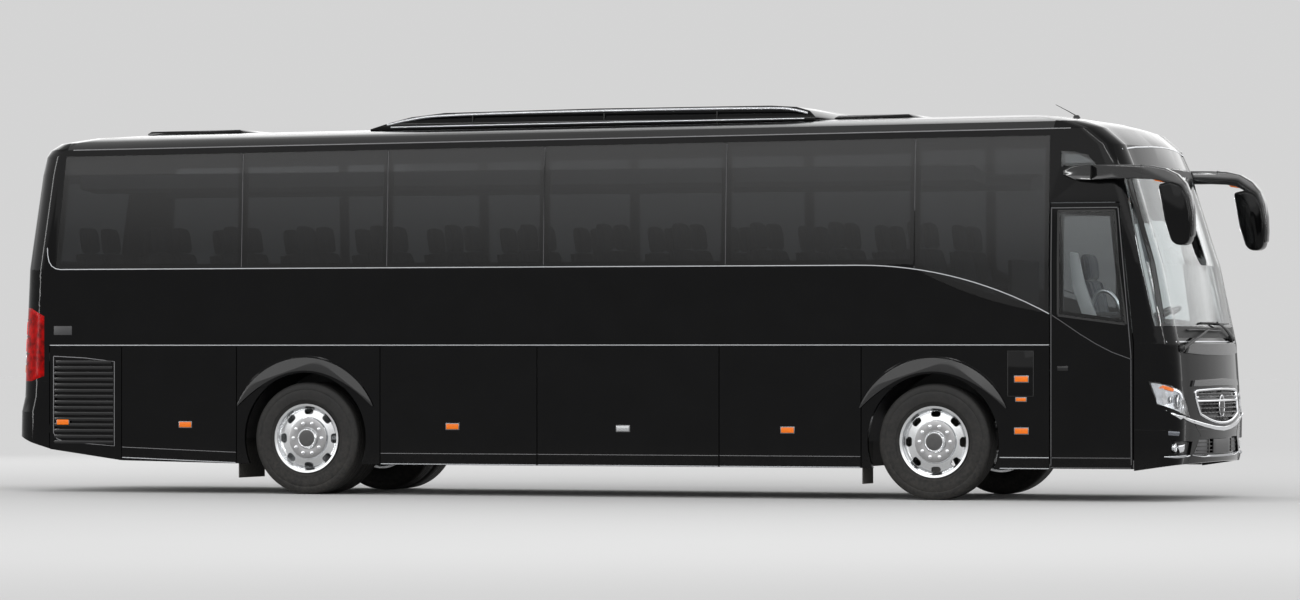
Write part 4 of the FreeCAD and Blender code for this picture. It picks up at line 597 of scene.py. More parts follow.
def outward(outline: Sequence[Point2]) -> list[Point2]:
    """The direction away from a closed outline at each of its corners."""
    path = list(outline)
    area = sum(a[0] * b[1] - b[0] * a[1] for a, b in zip(path, path[1:] + path[:1]))
    turn = math.copysign(1.0, area)
    found = []
    for before, after in zip(path[-1:] + path[:-1], path[1:] + path[:1]):
        x, z = after[0] - before[0], after[1] - before[1]
        size = math.hypot(x, z)
        found.append((turn * z / size, -turn * x / size))
    return found


# ------------------------------------------------------------------------------------------------------
# Solids from outlines
# ------------------------------------------------------------------------------------------------------
def profile(name: str, corners: Sequence[Point], closed: bool) -> bpy.types.Object:
    """A run of edges drawn corner by corner, left in edit mode with all of it selected.

    Args:
        name: name of the piece.
        corners: its corners in order.
        closed: True to fill it with one face.

    Returns:
        The object.
    """
    deselect()
    bpy.ops.mesh.primitive_plane_add(size=0.001, location=corners[0])
    thing = rest(named(name))
    bpy.ops.object.mode_set(mode="EDIT")
    bpy.ops.mesh.select_mode(type="VERT")
    bpy.ops.mesh.select_all(action="SELECT")
    bpy.ops.mesh.merge(type="CENTER")
    for before, after in zip(corners, corners[1:]):
        step = [b - a for a, b in zip(before, after)]
        bpy.ops.mesh.extrude_region_move(TRANSFORM_OT_translate={"value": step})
    bpy.ops.mesh.select_all(action="SELECT")
    if closed:
        bpy.ops.mesh.edge_face_add()
    return thing


def slab(name: str, corners: Sequence[Point], push: Point, bevel: float = 0.0,
         segments: int = 2) -> bpy.types.Object:
    """A flat outline pushed into a solid.

    Args:
        name: name of the piece.
        corners: the outline's corners.
        push: how far and where it is extruded.
        bevel: width of its bevels.
        segments: segments of each bevel.

    Returns:
        The object.
    """
    thing = profile(name, corners, True)
    bpy.ops.mesh.extrude_region_move(TRANSFORM_OT_translate={"value": push})
    turn_out()
    return bevelled(thing, bevel, segments)


def side_slab(name: str, outline: Sequence[Point2], outer: float, depth: float, side: Side,
              bevel: float = 0.0, segments: int = 2) -> bpy.types.Object:
    """A side-view outline of (x, z) made into a plate at a distance from mid-plane, going inwards."""
    corners = [(x, side.value * outer, z) for x, z in outline]
    return slab(name, corners, (0.0, -side.value * depth, 0.0), bevel, segments)


def turned(name: str, rows: Sequence[Point2], centre: Point, side: Side, steps: int = 72,
           closed: bool = True) -> bpy.types.Object:
    """A section of (radius, distance outwards) turned about an axis across the coach.

    Args:
        name: name of the piece.
        rows: the section's corners.
        centre: a point of the axis.
        side: the side that is outwards.
        steps: steps of the full turn.
        closed: True where the section comes back to its start.

    Returns:
        The object.
    """
    corners = [(centre[0], centre[1] + side.value * out, centre[2] + radius) for radius, out in rows]
    if closed:
        corners.append(corners[0])
    thing = profile(name, corners, False)
    bpy.ops.mesh.spin(steps=steps, angle=FULL_TURN, center=centre, axis=(0, 1, 0))
    turn_out(merge=True)
    return thing


def tube(name: str, points: Sequence[Point], radius: float, widths: Optional[Sequence[float]] = None,
         smooth: bool = True) -> bpy.types.Object:
    """A round bar that follows points.

    Args:
        name: name of the piece.
        points: the points it passes by.
        radius: its radius.
        widths: a factor of the radius at each point.
        smooth: True for a smooth line, False for straight runs.

    Returns:
        The object, as a mesh.
    """
    deselect()
    line = bpy.data.curves.new(name, "CURVE")
    line.dimensions, line.bevel_depth, line.bevel_resolution = "3D", radius, 4
    line.use_fill_caps = True
    run = line.splines.new("NURBS" if smooth else "POLY")
    run.points.add(len(points) - 1)
    for number, (point, place) in enumerate(zip(run.points, points)):
        point.co = (*place, 1.0)
        point.radius = widths[number] if widths else 1.0
    if smooth:
        run.order_u, run.use_endpoint_u, run.resolution_u = 3, True, 6
    thing = bpy.data.objects.new(name, line)
    bpy.context.collection.objects.link(thing)
    only(thing)
    bpy.ops.object.convert(target="MESH")
    thing = named(name)
    edit(thing)
    turn_out(merge=True)
    return thing


def copied(name: str, source: bpy.types.Object) -> bpy.types.Object:
    """A copy of an object with its own mesh."""
    thing = source.copy()
    thing.data = source.data.copy()
    thing.name = name
    thing.data.name = name
    thing.hide_viewport = thing.hide_render = False
    bpy.context.collection.objects.link(thing)
    return thing


def shifted(thing: bpy.types.Object, step: Point) -> bpy.types.Object:
    """Move an object's mesh."""
    thing.location = step
    return rest(thing)


def one(name: str, things: Iterable[bpy.types.Object]) -> bpy.types.Object:
    """Several objects joined into one."""
    things = list(things)
    deselect()
    for thing in things:
        thing.select_set(True)
    bpy.context.view_layer.objects.active = things[0]
    if len(things) > 1:
        bpy.ops.object.join()
    return named(name)


def skin(name: str, node: str, bevel: float = 0.0, keep: Optional[Test] = None) -> bpy.types.Object:
    """A merged copy of a CAD node's mesh with clean faces.

    Args:
        name: name of the piece.
        node: the CAD node.
        bevel: width of the bevels on its sharp edges.
        keep: says by centre and normal which faces stay; all of them if None.

    Returns:
        The object.
    """
    thing = only(copied(name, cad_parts[node]))
    edit(thing)
    bpy.ops.mesh.select_all(action="SELECT")
    bpy.ops.mesh.remove_doubles(threshold=MERGE_REACH)
    bpy.ops.mesh.dissolve_limited(angle_limit=math.radians(0.3))
    leave()
    if keep:
        edit(thing, "FACE")
        leave()
        for face in thing.data.polygons:
            face.select = not keep(face.center, face.normal)
        bpy.ops.object.mode_set(mode="EDIT")
        bpy.ops.mesh.delete(type="FACE")
        leave()
    return bevelled(thing, bevel, 2, 35.0)


def smoothed(thing: bpy.types.Object, angle: float) -> bpy.types.Object:
    """Shade an object smooth where its faces meet at less than an angle."""
    only(thing)
    bpy.ops.object.shade_smooth_by_angle(angle=math.radians(angle), keep_sharp_edges=False)
    return thing


def weighted(thing: bpy.types.Object) -> bpy.types.Object:
    """Let an object's large faces lead its shading."""
    return applied(thing, "WEIGHTED_NORMAL", keep_sharp=True)


def dress(thing: bpy.types.Object, finish: Finish, body: str = ROOT,
          nodes: Sequence[str] = (), angle: float = 32.0) -> bpy.types.Object:
    """Finish a piece and let it ride on a body.

    Args:
        thing: the piece.
        finish: its surface.
        body: the body it moves with.
        nodes: the CAD nodes that it stands for.
        angle: largest angle that is shaded smooth, in degrees.

    Returns:
        The piece.
    """
    if angle > 0:
        smoothed(thing, angle)
    thing.data.materials.clear()
    thing.data.materials.append(finish.material())
    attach(thing, body)
    if nodes:
        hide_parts(*nodes)
    LOG.info("%s: %s, %d faces, on %s", thing.name, finish.name, len(thing.data.polygons), body)
    return thing


def panelled(thing: bpy.types.Object, finish: Finish, body: str, node: str,
             angle: float = PANEL_ANGLE) -> bpy.types.Object:
    """Finish the skin of a node, with shading that its large faces lead.

    Args:
        thing: the skin.
        finish: its surface.
        body: the body it moves with.
        node: the CAD node that it stands for.
        angle: largest angle that is shaded smooth, in degrees.

    Returns:
        The piece.
    """
    return dress(weighted(smoothed(thing, angle)), finish, body, (node,), 0.0)


def coat(node: str, finish: Finish) -> None:
    """Give a CAD node that stays in view its finish."""
    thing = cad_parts[node]
    thing.data.materials.clear()
    thing.data.materials.append(finish.material())
    LOG.info("%s: %s", node, finish.name)


@lru_cache(maxsize=None)
def surface(label: str) -> BVHTree:
    """A search tree over the faces of a CAD node."""
    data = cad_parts[label].data
    return BVHTree.FromPolygons([vertex.co for vertex in data.vertices],
                                [face.vertices for face in data.polygons])


def cast(nodes: Sequence[str], start: Point, way: Point) -> Vector:
    """Where a ray first meets any of some CAD nodes.

    Args:
        nodes: names of the nodes.
        start: where the ray starts.
        way: its direction.

    Returns:
        The nearest point met, or the start if none is.
    """
    best, found = 1e9, Vector(start)
    for label in nodes:
        place, _normal, _face, distance = surface(label).ray_cast(Vector(start), Vector(way))
        if place is not None and distance < best:
            best, found = distance, place
    return found


FRONT_NODES = ("front_mask", "front_bumper", "front_frame", "windscreen", "headlamps", "grille",
               "front_ledges")
REAR_NODES = ("rear_mask", "rear_bumper", "engine_lid", "rear_window", "tail_lamps")


def on_front(y: float, z: float, proud: float = 0.0) -> Point:
    """The point of the front face at a place across and up, and ahead of it."""
    place = cast(FRONT_NODES, (AWAY, y, z), (-1.0, 0.0, 0.0))
    return (place.x + proud, y, z)


def side_face(z: float) -> float:
    """Distance of the side's surface from mid-plane at a height."""
    if z <= WAIST_Z:
        return SIDE_Y
    if z <= EAVES_Z:
        return SIDE_Y - WAIST_LEAN * (z - WAIST_Z) / (EAVES_Z - WAIST_Z)
    return SIDE_Y - WAIST_LEAN - EAVES_LEAN * (z - EAVES_Z) / (GUTTER_Z - EAVES_Z)


def draped(name: str, outline: Sequence[Point2], proud: float, depth: float, side: Side,
           bevel: float = 0.0) -> bpy.types.Object:
    """A plate of a side-view outline that leans with the side.

    Args:
        name: name of the piece.
        outline: its corners of (x, z).
        proud: how far its face stands out of the side.
        depth: its thickness.
        side: the side it lies on.
        bevel: width of its bevels.

    Returns:
        The object.
    """
    thing = side_slab(name, outline, SIDE_Y, depth, side)
    for vertex in thing.data.vertices:
        sunk = SIDE_Y - abs(vertex.co.y)
        vertex.co.y = side.value * (side_face(vertex.co.z) + proud - sunk)
    return bevelled(thing, bevel)


# ------------------------------------------------------------------------------------------------------
# Bodywork
# ------------------------------------------------------------------------------------------------------
@dataclass
class Bodywork:
    """The painted panels, as clean copies of their solids with rounded edges."""

    edge: float = 0.0025
    fixed: tuple[str, ...] = ("front_frame", "front_mask", "front_bumper", "rear_mask", "rear_bumper",
                              "side_wall_right", "side_wall_left", "lower_panels_right", "lower_panels_left")
    flaps: tuple[str, ...] = ("luggage_flap_1", "luggage_flap_2", "luggage_flap_3", "service_flap",
                              "louvre_door")

    def build(self) -> None:
        """Dress the fixed and the moving panels."""
        for label in self.fixed:
            self.panel(label, ROOT)
        self.panel("roof", ROOT, ROOF_PAINT)
        # The front ledges take the lighter grey paint: a painted reflection of light from above.
        self.panel("front_ledges", ROOT, LEDGE_PAINTED_SHEEN, 0.006)
        for label in self.flaps:
            for side in Side:
                self.panel("%s_%s" % (label, side.word), "%s_%s" % (label, side.word))
        for label in ("engine_lid", "door_leaf"):
            self.panel(label, label)

    def panel(self, label: str, body: str, finish: Finish = BLACK_PAINT, edge: float = 0.0) -> None:
        """One painted panel."""
        panelled(skin(label + "_skin", label, edge or self.edge), finish, body, label)


@dataclass
class Glazing:
    """The panes: the tinted ones of the saloon and the clear ones of the driver's place."""

    saloon_end: float = 4.5

    def build(self) -> None:
        """Dress every pane."""
        self.pane("side_windows", "saloon", TINTED_GLASS, "tinted_glass", ROOT, lambda c,
                  _n: c.x < self.saloon_end)
        self.pane("side_windows", "driver", SCREEN_GLASS, "tinted_glass", ROOT, lambda c,
                  _n: c.x > self.saloon_end)
        self.pane("rear_window", "pane", TINTED_GLASS, "tinted_glass", ROOT)
        self.pane("windscreen", "pane", SCREEN_GLASS, "clear_glass", ROOT)
        self.pane("door_glass", "pane", CLEAR_GLASS, "clear_glass", "door_leaf")

    def pane(self, label: str, word: str, finish: Finish, slot: str, body: str,
             keep: Optional[Test] = None) -> None:
        """Dress the panes of a node, or some of them.

        Args:
            label: the CAD node.
            word: last word of the piece's name.
            finish: the glass.
            slot: the record's material slot; not used.
            body: the body the panes ride on.
            keep: says by centre and normal which faces stay.
        """
        panelled(skin("%s_%s" % (label, word), label, 0.0, keep), finish, body, label)


@dataclass
class SideTrim:
    """The lines, pane joints, louvres, arch lips and side lamps of one side."""

    side: Side
    dip_start: float = 2.7
    dip_radius: float = 3.8
    line_z: float = 2.106
    lip_outer: float = 0.752
    lip_inner: float = 0.63
    lip_wide: float = 0.11
    lip_reach: float = 66.0
    lip_steps: int = 36
    lip_proud: float = 0.0158
    joint_half: float = 0.0035
    joints: tuple[float, ...] = (-3.335, -1.870, -0.320, 1.440, 3.225)

    def dip(self, x: float) -> float:
        """Drop of the window line at a place."""
        if x <= self.dip_start:
            return 0.0
        return self.dip_radius - math.sqrt(self.dip_radius ** 2 - (x - self.dip_start) ** 2)

    def name(self, label: str) -> str:
        """A piece's name on this side."""
        return "%s_%s" % (label, self.side.word)

    def strip(self, label: str, path: Sequence[Point2], width: float, proud: float, depth: float,
              finish: Finish, body: str = ROOT) -> None:
        """A thin moulding along a path of (x, z) on the side.

        Args:
            label: name of the piece without its side.
            path: the places along its middle.
            width: its height on the side.
            proud: how far it stands out.
            depth: its thickness.
            finish: its surface.
            body: the body it rides on.
        """
        outer = max(side_face(z) for _x, z in path) + proud
        dress(side_slab(self.name(label), band(path, width), outer, depth, self.side), finish, body)

    def build(self) -> None:
        """Make the mouldings and lamps of the side."""
        front = 4.474 if self.side is Side.RIGHT else 5.235
        self.strip("belt_line", ((-5.31, 1.3895), (front, 1.3895)), 0.007, 0.0025, 0.004, SILVER_LINE)
        curve = [(self.dip_start + 0.12 * step, self.line_z - self.dip(self.dip_start + 0.12 * step))
                 for step in range(15)] + [(4.474, self.line_z - self.dip(4.474))]
        rear = [(-5.335, 2.31), (-5.332, 2.24), (-5.318, 2.18), (-5.29, 2.138), (-5.25, 2.114),
                (-5.2, self.line_z)]
        self.strip("window_line", rear + curve, 0.008, 0.0025, 0.006, SILVER_LINE)
        self.strip("gutter_line", ((-5.09, 3.235), (0.0, 3.276), (4.66, 3.315)), 0.009, 0.0035, 0.012,
                   DIM_EDGE)
        for number, x in enumerate(self.joints):
            self.joint(number, x)
        self.sill()
        self.louvres()
        self.arch_lips()
        self.lamps()

    def joint(self, number: int, x: float) -> None:
        """The upright between two panes."""
        low, high = self.line_z - self.dip(x) + 0.012, 3.205 + 0.0082 * x
        rear, front = x - self.joint_half, x + self.joint_half
        outline = ((rear, low), (front, low), (front, EAVES_Z), (front, high), (rear, high), (rear, EAVES_Z))
        dress(draped(self.name("pane_joint_%d" % number), outline, 0.0005, 0.006, self.side), FAINT_EDGE)

    def sill(self) -> None:
        """The bright line along the foot of the fixed panels and flaps."""
        runs = (("flap_1", -1.932, -0.386, "luggage_flap_1"), ("flap_2", -0.378, 1.377, "luggage_flap_2"),
                ("flap_3", 1.385, 2.724, "luggage_flap_3"), ("service", -4.561, -3.39, "service_flap"))
        for label, rear, front, body in runs:
            rise = 0.036 if label == "service" else 0.0
            path = ((rear + 0.004, 0.291 + rise * (-3.386 - rear)),
                    (front - 0.004, 0.291 + rise * (-3.386 - front)))
            self.strip("sill_" + label, path, 0.007, 0.002, 0.004, SILVER_LINE, self.name(body))
            self.strip("sill_upper_" + label, [(x, z + 0.097) for x, z in path], 0.005, 0.002, 0.004,
                       DIM_EDGE, self.name(body))
        end = 4.472 if self.side is Side.RIGHT else 5.236
        for label, z in (("sill_front", 0.291), ("sill_front_upper", 0.388)):
            self.strip(label, ((4.02, z), (end, z)), 0.007, 0.002, 0.004, SILVER_LINE)

    def louvres(self) -> None:
        """The slats of the engine's air intake and the plain plate above it."""
        slats = []
        for number in range(15):
            z = 0.46 + 0.054 * number
            rear, front = -5.262 + 0.012 * (number > 13), -4.65 - 0.01 * max(0.0, number - 12)
            slats.append(draped("slat", ((rear, z), (front, z), (front, z + 0.03), (rear, z + 0.03)), 0.005,
                                0.01, self.side, 0.0035))
        dress(one(self.name("louvre_slats"), slats), RELIEF_PAINT, self.name("louvre_door"))
        edge = ((-5.272, 1.286), (-4.95, 1.27), (-4.64, 1.236), (-4.64, 0.44), (-5.16, 0.478),
                (-5.235, 0.505), (-5.272, 0.56), (-5.272, 1.286))
        self.strip("louvre_edge", edge, 0.007, 0.002, 0.004, DIM_EDGE, self.name("louvre_door"))
        plate = draped(self.name("side_plate"), box_outline(-5.174, 1.5285, 0.094, 0.0425), 0.004, 0.008,
                       self.side, 0.003)
        dress(plate, DARK_PLATE)

    def arch_lips(self) -> None:
        """The broad lips over the wheel arches."""
        for word, axle_x in (("front", FRONT_AXLE), ("rear", REAR_AXLE)):
            outer, inner = [], []
            for step in range(self.lip_steps + 1):
                share = 2.0 * step / self.lip_steps - 1.0
                angle = math.radians(90.0 + self.lip_reach * share)
                for radius, row in ((self.lip_outer, outer),
                                    (self.lip_inner + self.lip_wide * abs(share) ** 3, inner)):
                    row.append((axle_x + radius * math.cos(angle), AXLE_Z + radius * math.sin(angle)))
            lip = draped(self.name("arch_lip_" + word), outer + inner[::-1], self.lip_proud, 0.006, self.side,
                         0.003)
            dress(lip, LIP_BLACK)

    def lamps(self) -> None:
        """The amber side lamps and the clear one in the middle."""
        places = ((-5.174, 0.663, "louvre_door"), (-3.907, 0.645, "service_flap"),
                  (-1.214, 0.639, "luggage_flap_1"), (2.034, 0.622, "luggage_flap_3"), (4.221, 0.624, ""),
                  (4.221, 1.086, ""), (4.217, 0.904, ""))
        for number, (x, z, body) in enumerate(places):
            self.lamp(number, x, z, AMBER_LENS, self.name(body) if body else ROOT)
        self.lamp(len(places), 0.456, 0.628, GREY_LENS, self.name("luggage_flap_2"))

    def lamp(self, number: int, x: float, z: float, finish: Finish, body: str) -> None:
        """One side lamp in its grey frame; the one below the filler flap is a short one."""
        long, tall = (0.045, 0.014) if z == 0.904 else (0.06, 0.024)
        base = draped(self.name("side_lamp_base_%d" % number), box_outline(x, z, long + 0.008, tall + 0.008),
                      0.005, 0.008, self.side, 0.003)
        dress(base, DIM_EDGE, body)
        lens = draped(self.name("side_lamp_%d" % number), box_outline(x, z, long, tall), 0.009, 0.006,
                      self.side, 0.0025)
        dress(lens, finish, body)


# ------------------------------------------------------------------------------------------------------
# Wheels
# ------------------------------------------------------------------------------------------------------
@dataclass
class Wheel:
    """A wheel with its tyre or tyres."""

    side: Side
    place: str
    axle_x: float
    twin: bool
    axle_z: float = AXLE_Z
    tyre_outer: float = 1.25
    tyre_width: float = 0.295
    twin_pitch: float = 0.338
    hub_face: float = 1.236
    nuts: int = 10
    nut_circle: float = 0.143
    grooves: tuple[float, ...] = (0.052, 0.112, 0.174, 0.234)

    @property
    def body(self) -> str:
        """The body that turns."""
        return "%s_wheel_%s" % (self.place, self.side.word)

    @property
    def centre(self) -> Point:
        """The place of the axle in mid-plane."""
        return (self.axle_x, 0.0, self.axle_z)

    def name(self, label: str) -> str:
        """A piece's name on this wheel."""
        return "%s_%s_%s" % (label, self.place, self.side.word)

    def tyre_rows(self) -> list[Point2]:
        """The tyre's section as (radius, distance from its outer face), from bead to bead."""
        flank = [(0.2985, 0.058), (0.311, 0.031), (0.3255, 0.024), (0.3405, 0.0095), (0.352, 0.0055),
                 (0.3545, 0.0085), (0.358, 0.0045), (0.39, 0.0012), (0.421, 0.0), (0.447, 0.0018),
                 (0.452, 0.0042), (0.456, 0.0022), (0.478, 0.0048), (0.492, 0.0085), (0.503, 0.0135),
                 (0.5125, 0.0195), (0.518, 0.03), (0.5212, 0.042)]
        tread = []
        for start in self.grooves:
            tread += [(0.5218, start), (0.511, start + 0.0015), (0.511, start + 0.0085),
                      (0.5218, start + 0.01)]
        inner = [(radius, self.tyre_width - out) for radius, out in reversed(flank[1:])]
        return flank + tread + inner + [(0.303, self.tyre_width - 0.03), (0.2985, self.tyre_width - 0.04)]

    def tyre(self, label: str, outer: float) -> bpy.types.Object:
        """One tyre with its outer face at a distance from mid-plane."""
        rows = [(radius, outer - out) for radius, out in self.tyre_rows()]
        thing = turned(self.name(label), rows, self.centre, self.side, 96)
        return dress(thing, TYRE_RUBBER, self.body,
                     ("tyre_%s_%s" % (self.place, self.side.word),), 40.0)

    def build(self) -> None:
        """Make the tyres, the rim and the hub."""
        self.tyre("tyre_outer", self.tyre_outer)
        if self.twin:
            self.tyre("tyre_inner", self.tyre_outer - self.twin_pitch)
        node = "wheel_%s_%s" % (self.place, self.side.word)
        panelled(skin(self.name("rim"), node, 0.0025), ALLOY, self.body, node, 28.0)
        self.hub()

    def hub(self) -> None:
        """The nut ring, its nuts and the plain cap."""
        out = self.side.value
        face = self.hub_face - 0.028
        ring_rows = ((0.1, face + 0.0005), (0.1865, face + 0.0005), (0.1865, face + 0.004),
                     (0.18, face + 0.0065), (0.108, face + 0.0065), (0.1, face + 0.004))
        dress(turned(self.name("hub_ring"), ring_rows, self.centre, self.side), SATIN_STEEL,
              self.body)
        parts = []
        for number in range(self.nuts):
            angle = FULL_TURN * (number + 0.5) / self.nuts
            where = (self.axle_x + self.nut_circle * math.sin(angle), out * (face + 0.012),
                     self.axle_z + self.nut_circle * math.cos(angle))
            parts.append(drum("washer", (where[0], out * (face + 0.008), where[2]), 0.0175, 0.004, Axis.Y,
                              0.001, 24))
            parts.append(drum("nut", (where[0], out * (face + 0.0175), where[2]), 0.0135, 0.017, Axis.Y,
                              0.002, 6))
            parts.append(drum("stud", (where[0], out * (face + 0.028), where[2]), 0.0075, 0.006, Axis.Y,
                              0.0015, 16))
        dress(one(self.name("wheel_nuts"), parts), CHROME, self.body)
        dome = ((0.0, 0.0025), (0.04, 0.0022), (0.074, 0.0008), (0.079, -0.001), (0.079, -0.006),
                (0.0, -0.006))
        cap_rows = [(radius, self.hub_face + rise) for radius, rise in dome]
        dress(turned(self.name("hub_cap"), cap_rows, self.centre, self.side, closed=False),
              CAP_GREY, self.body)
        dress(hoop(self.name("cap_ring"), (self.axle_x, out * (self.hub_face - 0.001), self.axle_z), 0.0835,
                   0.0042), CHROME, self.body)


# ------------------------------------------------------------------------------------------------------
# Pieces draped on the front and rear faces
# ------------------------------------------------------------------------------------------------------
class End(Enum):
    """The two ends of the coach, by the sign of X."""

    FRONT = 1
    REAR = -1


@dataclass
class Hull:
    """The skin of one end, as a target that thin pieces are laid on."""

    end: End
    nodes: tuple[str, ...]
    away: float = AWAY

    def __post_init__(self) -> None:
        """Join copies of the end's solids."""
        copies = [copied("hull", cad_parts[label]) for label in self.nodes]
        self.target = one("hull_" + self.end.name.lower(), copies)

    def lay(self, name: str, outline: Sequence[Point2], proud: float, thick: float, cell: float = 0.06,
            bevel: float = 0.0) -> bpy.types.Object:
        """A plate of an outline of (y, z), laid on the end's skin.

        Args:
            name: name of the piece.
            outline: its corners.
            proud: how far its face stands out of the skin.
            thick: its thickness, inwards.
            cell: spacing of the lines that let it follow the skin.
            bevel: width of its bevels.

        Returns:
            The object.
        """
        out = self.end.value
        thing = profile(name, [(out * self.away, y, z) for y, z in outline], True)
        for axis in (0, 1):
            values = [corner[axis] for corner in outline]
            count = int((max(values) - min(values)) / cell)
            for number in range(1, count + 1):
                place = min(values) + (max(values) - min(values)) * number / (count + 1)
                bpy.ops.mesh.select_all(action="SELECT")
                normal = (0.0, 1.0, 0.0) if axis == 0 else (0.0, 0.0, 1.0)
                bpy.ops.mesh.bisect(plane_co=(0.0, place, place), plane_no=normal)
        leave()
        applied(thing, "SHRINKWRAP", wrap_method="PROJECT", target=self.target, use_project_x=True,
                use_project_y=False, use_project_z=False, use_negative_direction=out > 0,
                use_positive_direction=out < 0)
        edit(thing, "FACE")
        bpy.ops.mesh.select_all(action="SELECT")
        bpy.ops.transform.translate(value=(out * proud, 0.0, 0.0))
        bpy.ops.mesh.extrude_region_move(TRANSFORM_OT_translate={"value": (-out * thick, 0.0, 0.0)})
        turn_out()
        return bevelled(thing, bevel, 2, 50.0)

    def drop(self) -> None:
        """Take the target out of the scene."""
        bpy.data.objects.remove(self.target)


@dataclass
class FrontEnd:
    """Grille, headlamps, trims and wipers of the front."""

    hull: Hull

    def build(self) -> None:
        """Make everything on the front."""
        self.grille()
        self.lower_face()
        self.screen_bands()
        self.wipers()
        for side in Side:
            self.headlamp(side)
            self.fog_lamp(side)
        self.hull.drop()

    def grille(self) -> None:
        """The dark grille in its chrome frame, a plain badge place and the chrome blade below."""
        foot = ((0.0, 0.677), (0.36, 0.698), (0.706, 0.766), (9.0, 9.0))

        def in_blade(centre: Vector, _normal: Vector) -> bool:
            for (start, low), (end, high) in zip(foot, foot[1:]):
                if abs(centre.y) <= end:
                    edge = low + (high - low) * (abs(centre.y) - start) / (end - start)
                    return end > 1.0 or centre.z < edge - 0.004
            return True

        blade = skin("chrome_blade", "grille", 0.0025, in_blade)
        dress(blade, CHROME, ROOT, ("grille",), 40.0)
        mesh = skin("grille_mesh", "grille", 0.0, lambda c, n: not in_blade(c, n))
        dress(mesh, SATIN_BLACK, ROOT, ("grille",), 30.0)
        ring = ((0.0, 0.996), (-0.4, 0.992), (-0.74, 0.984), (-0.774, 0.976), (-0.764, 0.93), (-0.75, 0.88),
                (-0.72, 0.81), (-0.7, 0.775), (-0.66, 0.762), (-0.36, 0.706), (0.0, 0.687))
        path = list(ring) + [(-y, z) for y, z in ring[-2::-1]]
        frame_piece = tube("grille_frame", [on_front(y, z, 0.002) for y, z in path], 0.012)
        dress(frame_piece, CHROME, ROOT, (), 50.0)
        for number, (z, half) in enumerate(((0.924, 0.75), (0.89, 0.742))):
            bar = self.hull.lay("grille_bar_%d" % number, band(((-half, z), (half, z)), 0.017), 0.014, 0.022,
                                0.15, 0.004)
            dress(bar, CHROME, ROOT)
        centre = on_front(0.0, 0.84, 0.006)
        dress(drum("badge_place", centre, 0.095, 0.034, Axis.X, 0.008, 64), SATIN_BLACK)
        dress(hoop("badge_rim", (centre[0] + 0.013, 0.0, 0.84), 0.095, 0.008, Axis.X), CHROME)

    def lower_face(self) -> None:
        """The mesh and the blank plate in the bumper's opening, and the bright lip below it."""
        for side in Side:
            s = side.value
            panel = ((s * 0.4, 0.425), (s * 0.8, 0.425), (s * 0.7, 0.545), (s * 0.4, 0.545))
            dress(self.hull.lay("bumper_mesh_" + side.word, panel, 0.006, 0.008, 0.07, 0.002), GREY_MESH_AND_CREASE_HIGHLIGHT)
            rib = ((s * 0.405, 0.425), (s * 0.435, 0.425), (s * 0.435, 0.545), (s * 0.405, 0.545))
            dress(self.hull.lay("bumper_rib_" + side.word, rib, 0.018, 0.02, 0.07, 0.004), SATIN_BLACK)
        plate = ((-0.31, 0.42), (0.31, 0.42), (0.31, 0.548), (-0.31, 0.548))
        dress(self.hull.lay("front_plate", plate, 0.024, 0.01, 0.12, 0.003), DARK_PLATE)
        for number, z in enumerate((0.45, 0.485, 0.52)):
            bar = self.hull.lay("bumper_bar_%d" % number, band(((-0.73, z), (0.73, z)), 0.009), 0.014, 0.012,
                                0.15, 0.002)
            dress(bar, SATIN_BLACK)
        lip = both(((-0.87, 0.412), (-0.6, 0.4), (-0.3, 0.396), (0.0, 0.395)))
        dress(self.hull.lay("bumper_lip", band(lip, 0.02, 0.5), 0.008, 0.02, 0.09, 0.005), SILVER_LINE)
        for side in Side:
            s = side.value
            seam = flipped(side, ((0.874, 0.714), (0.778, 0.651), (0.676, 0.587), (0.7, 0.561),
                                  (0.925, 0.36)))
            dress(self.hull.lay("bumper_seam_" + side.word, band(seam, 0.006), 0.0012, 0.004, 0.05),
                  SEAM_BLACK)

    def screen_bands(self) -> None:
        """The dark printed border of the windscreen and the seams round it."""
        for side in Side:
            s = side.value
            edge = [(s * 1.232, 1.56), (s * 1.222, 1.75), (s * 1.21, 2.1), (s * 1.19, 2.5), (s * 1.172, 2.8),
                    (s * 1.15, 2.98)]
            dress(self.hull.lay("screen_border_" + side.word, band(edge, 0.04), 0.0012, 0.003, 0.1),
                  SEAM_BLACK)
        foot = both(((-1.235, 1.59), (-1.14, 1.56), (-0.9, 1.55), (-0.466, 1.545), (0.0, 1.545)))
        low = foot + [(-y, 1.452) for y, _z in foot]
        dress(self.hull.lay("screen_border_low", low, 0.0012, 0.003, 0.1), SEAM_BLACK)
        high = both(((-1.16, 2.955), (-0.6, 2.95), (0.0, 2.95)))
        dress(self.hull.lay("screen_border_high", band(high, 0.06), 0.0012, 0.003, 0.1), SEAM_BLACK)
        for label, path in (("bonnet_seam", ((-1.23, 1.418), (-0.6, 1.42), (0.0, 1.421))),
                            ("brow_seam", ((-1.12, 3.128), (-0.8, 3.154), (-0.4, 3.17), (0.0, 3.177)))):
            dress(self.hull.lay(label, band(both(path), 0.011), 0.002, 0.004, 0.1), SILVER_LINE)

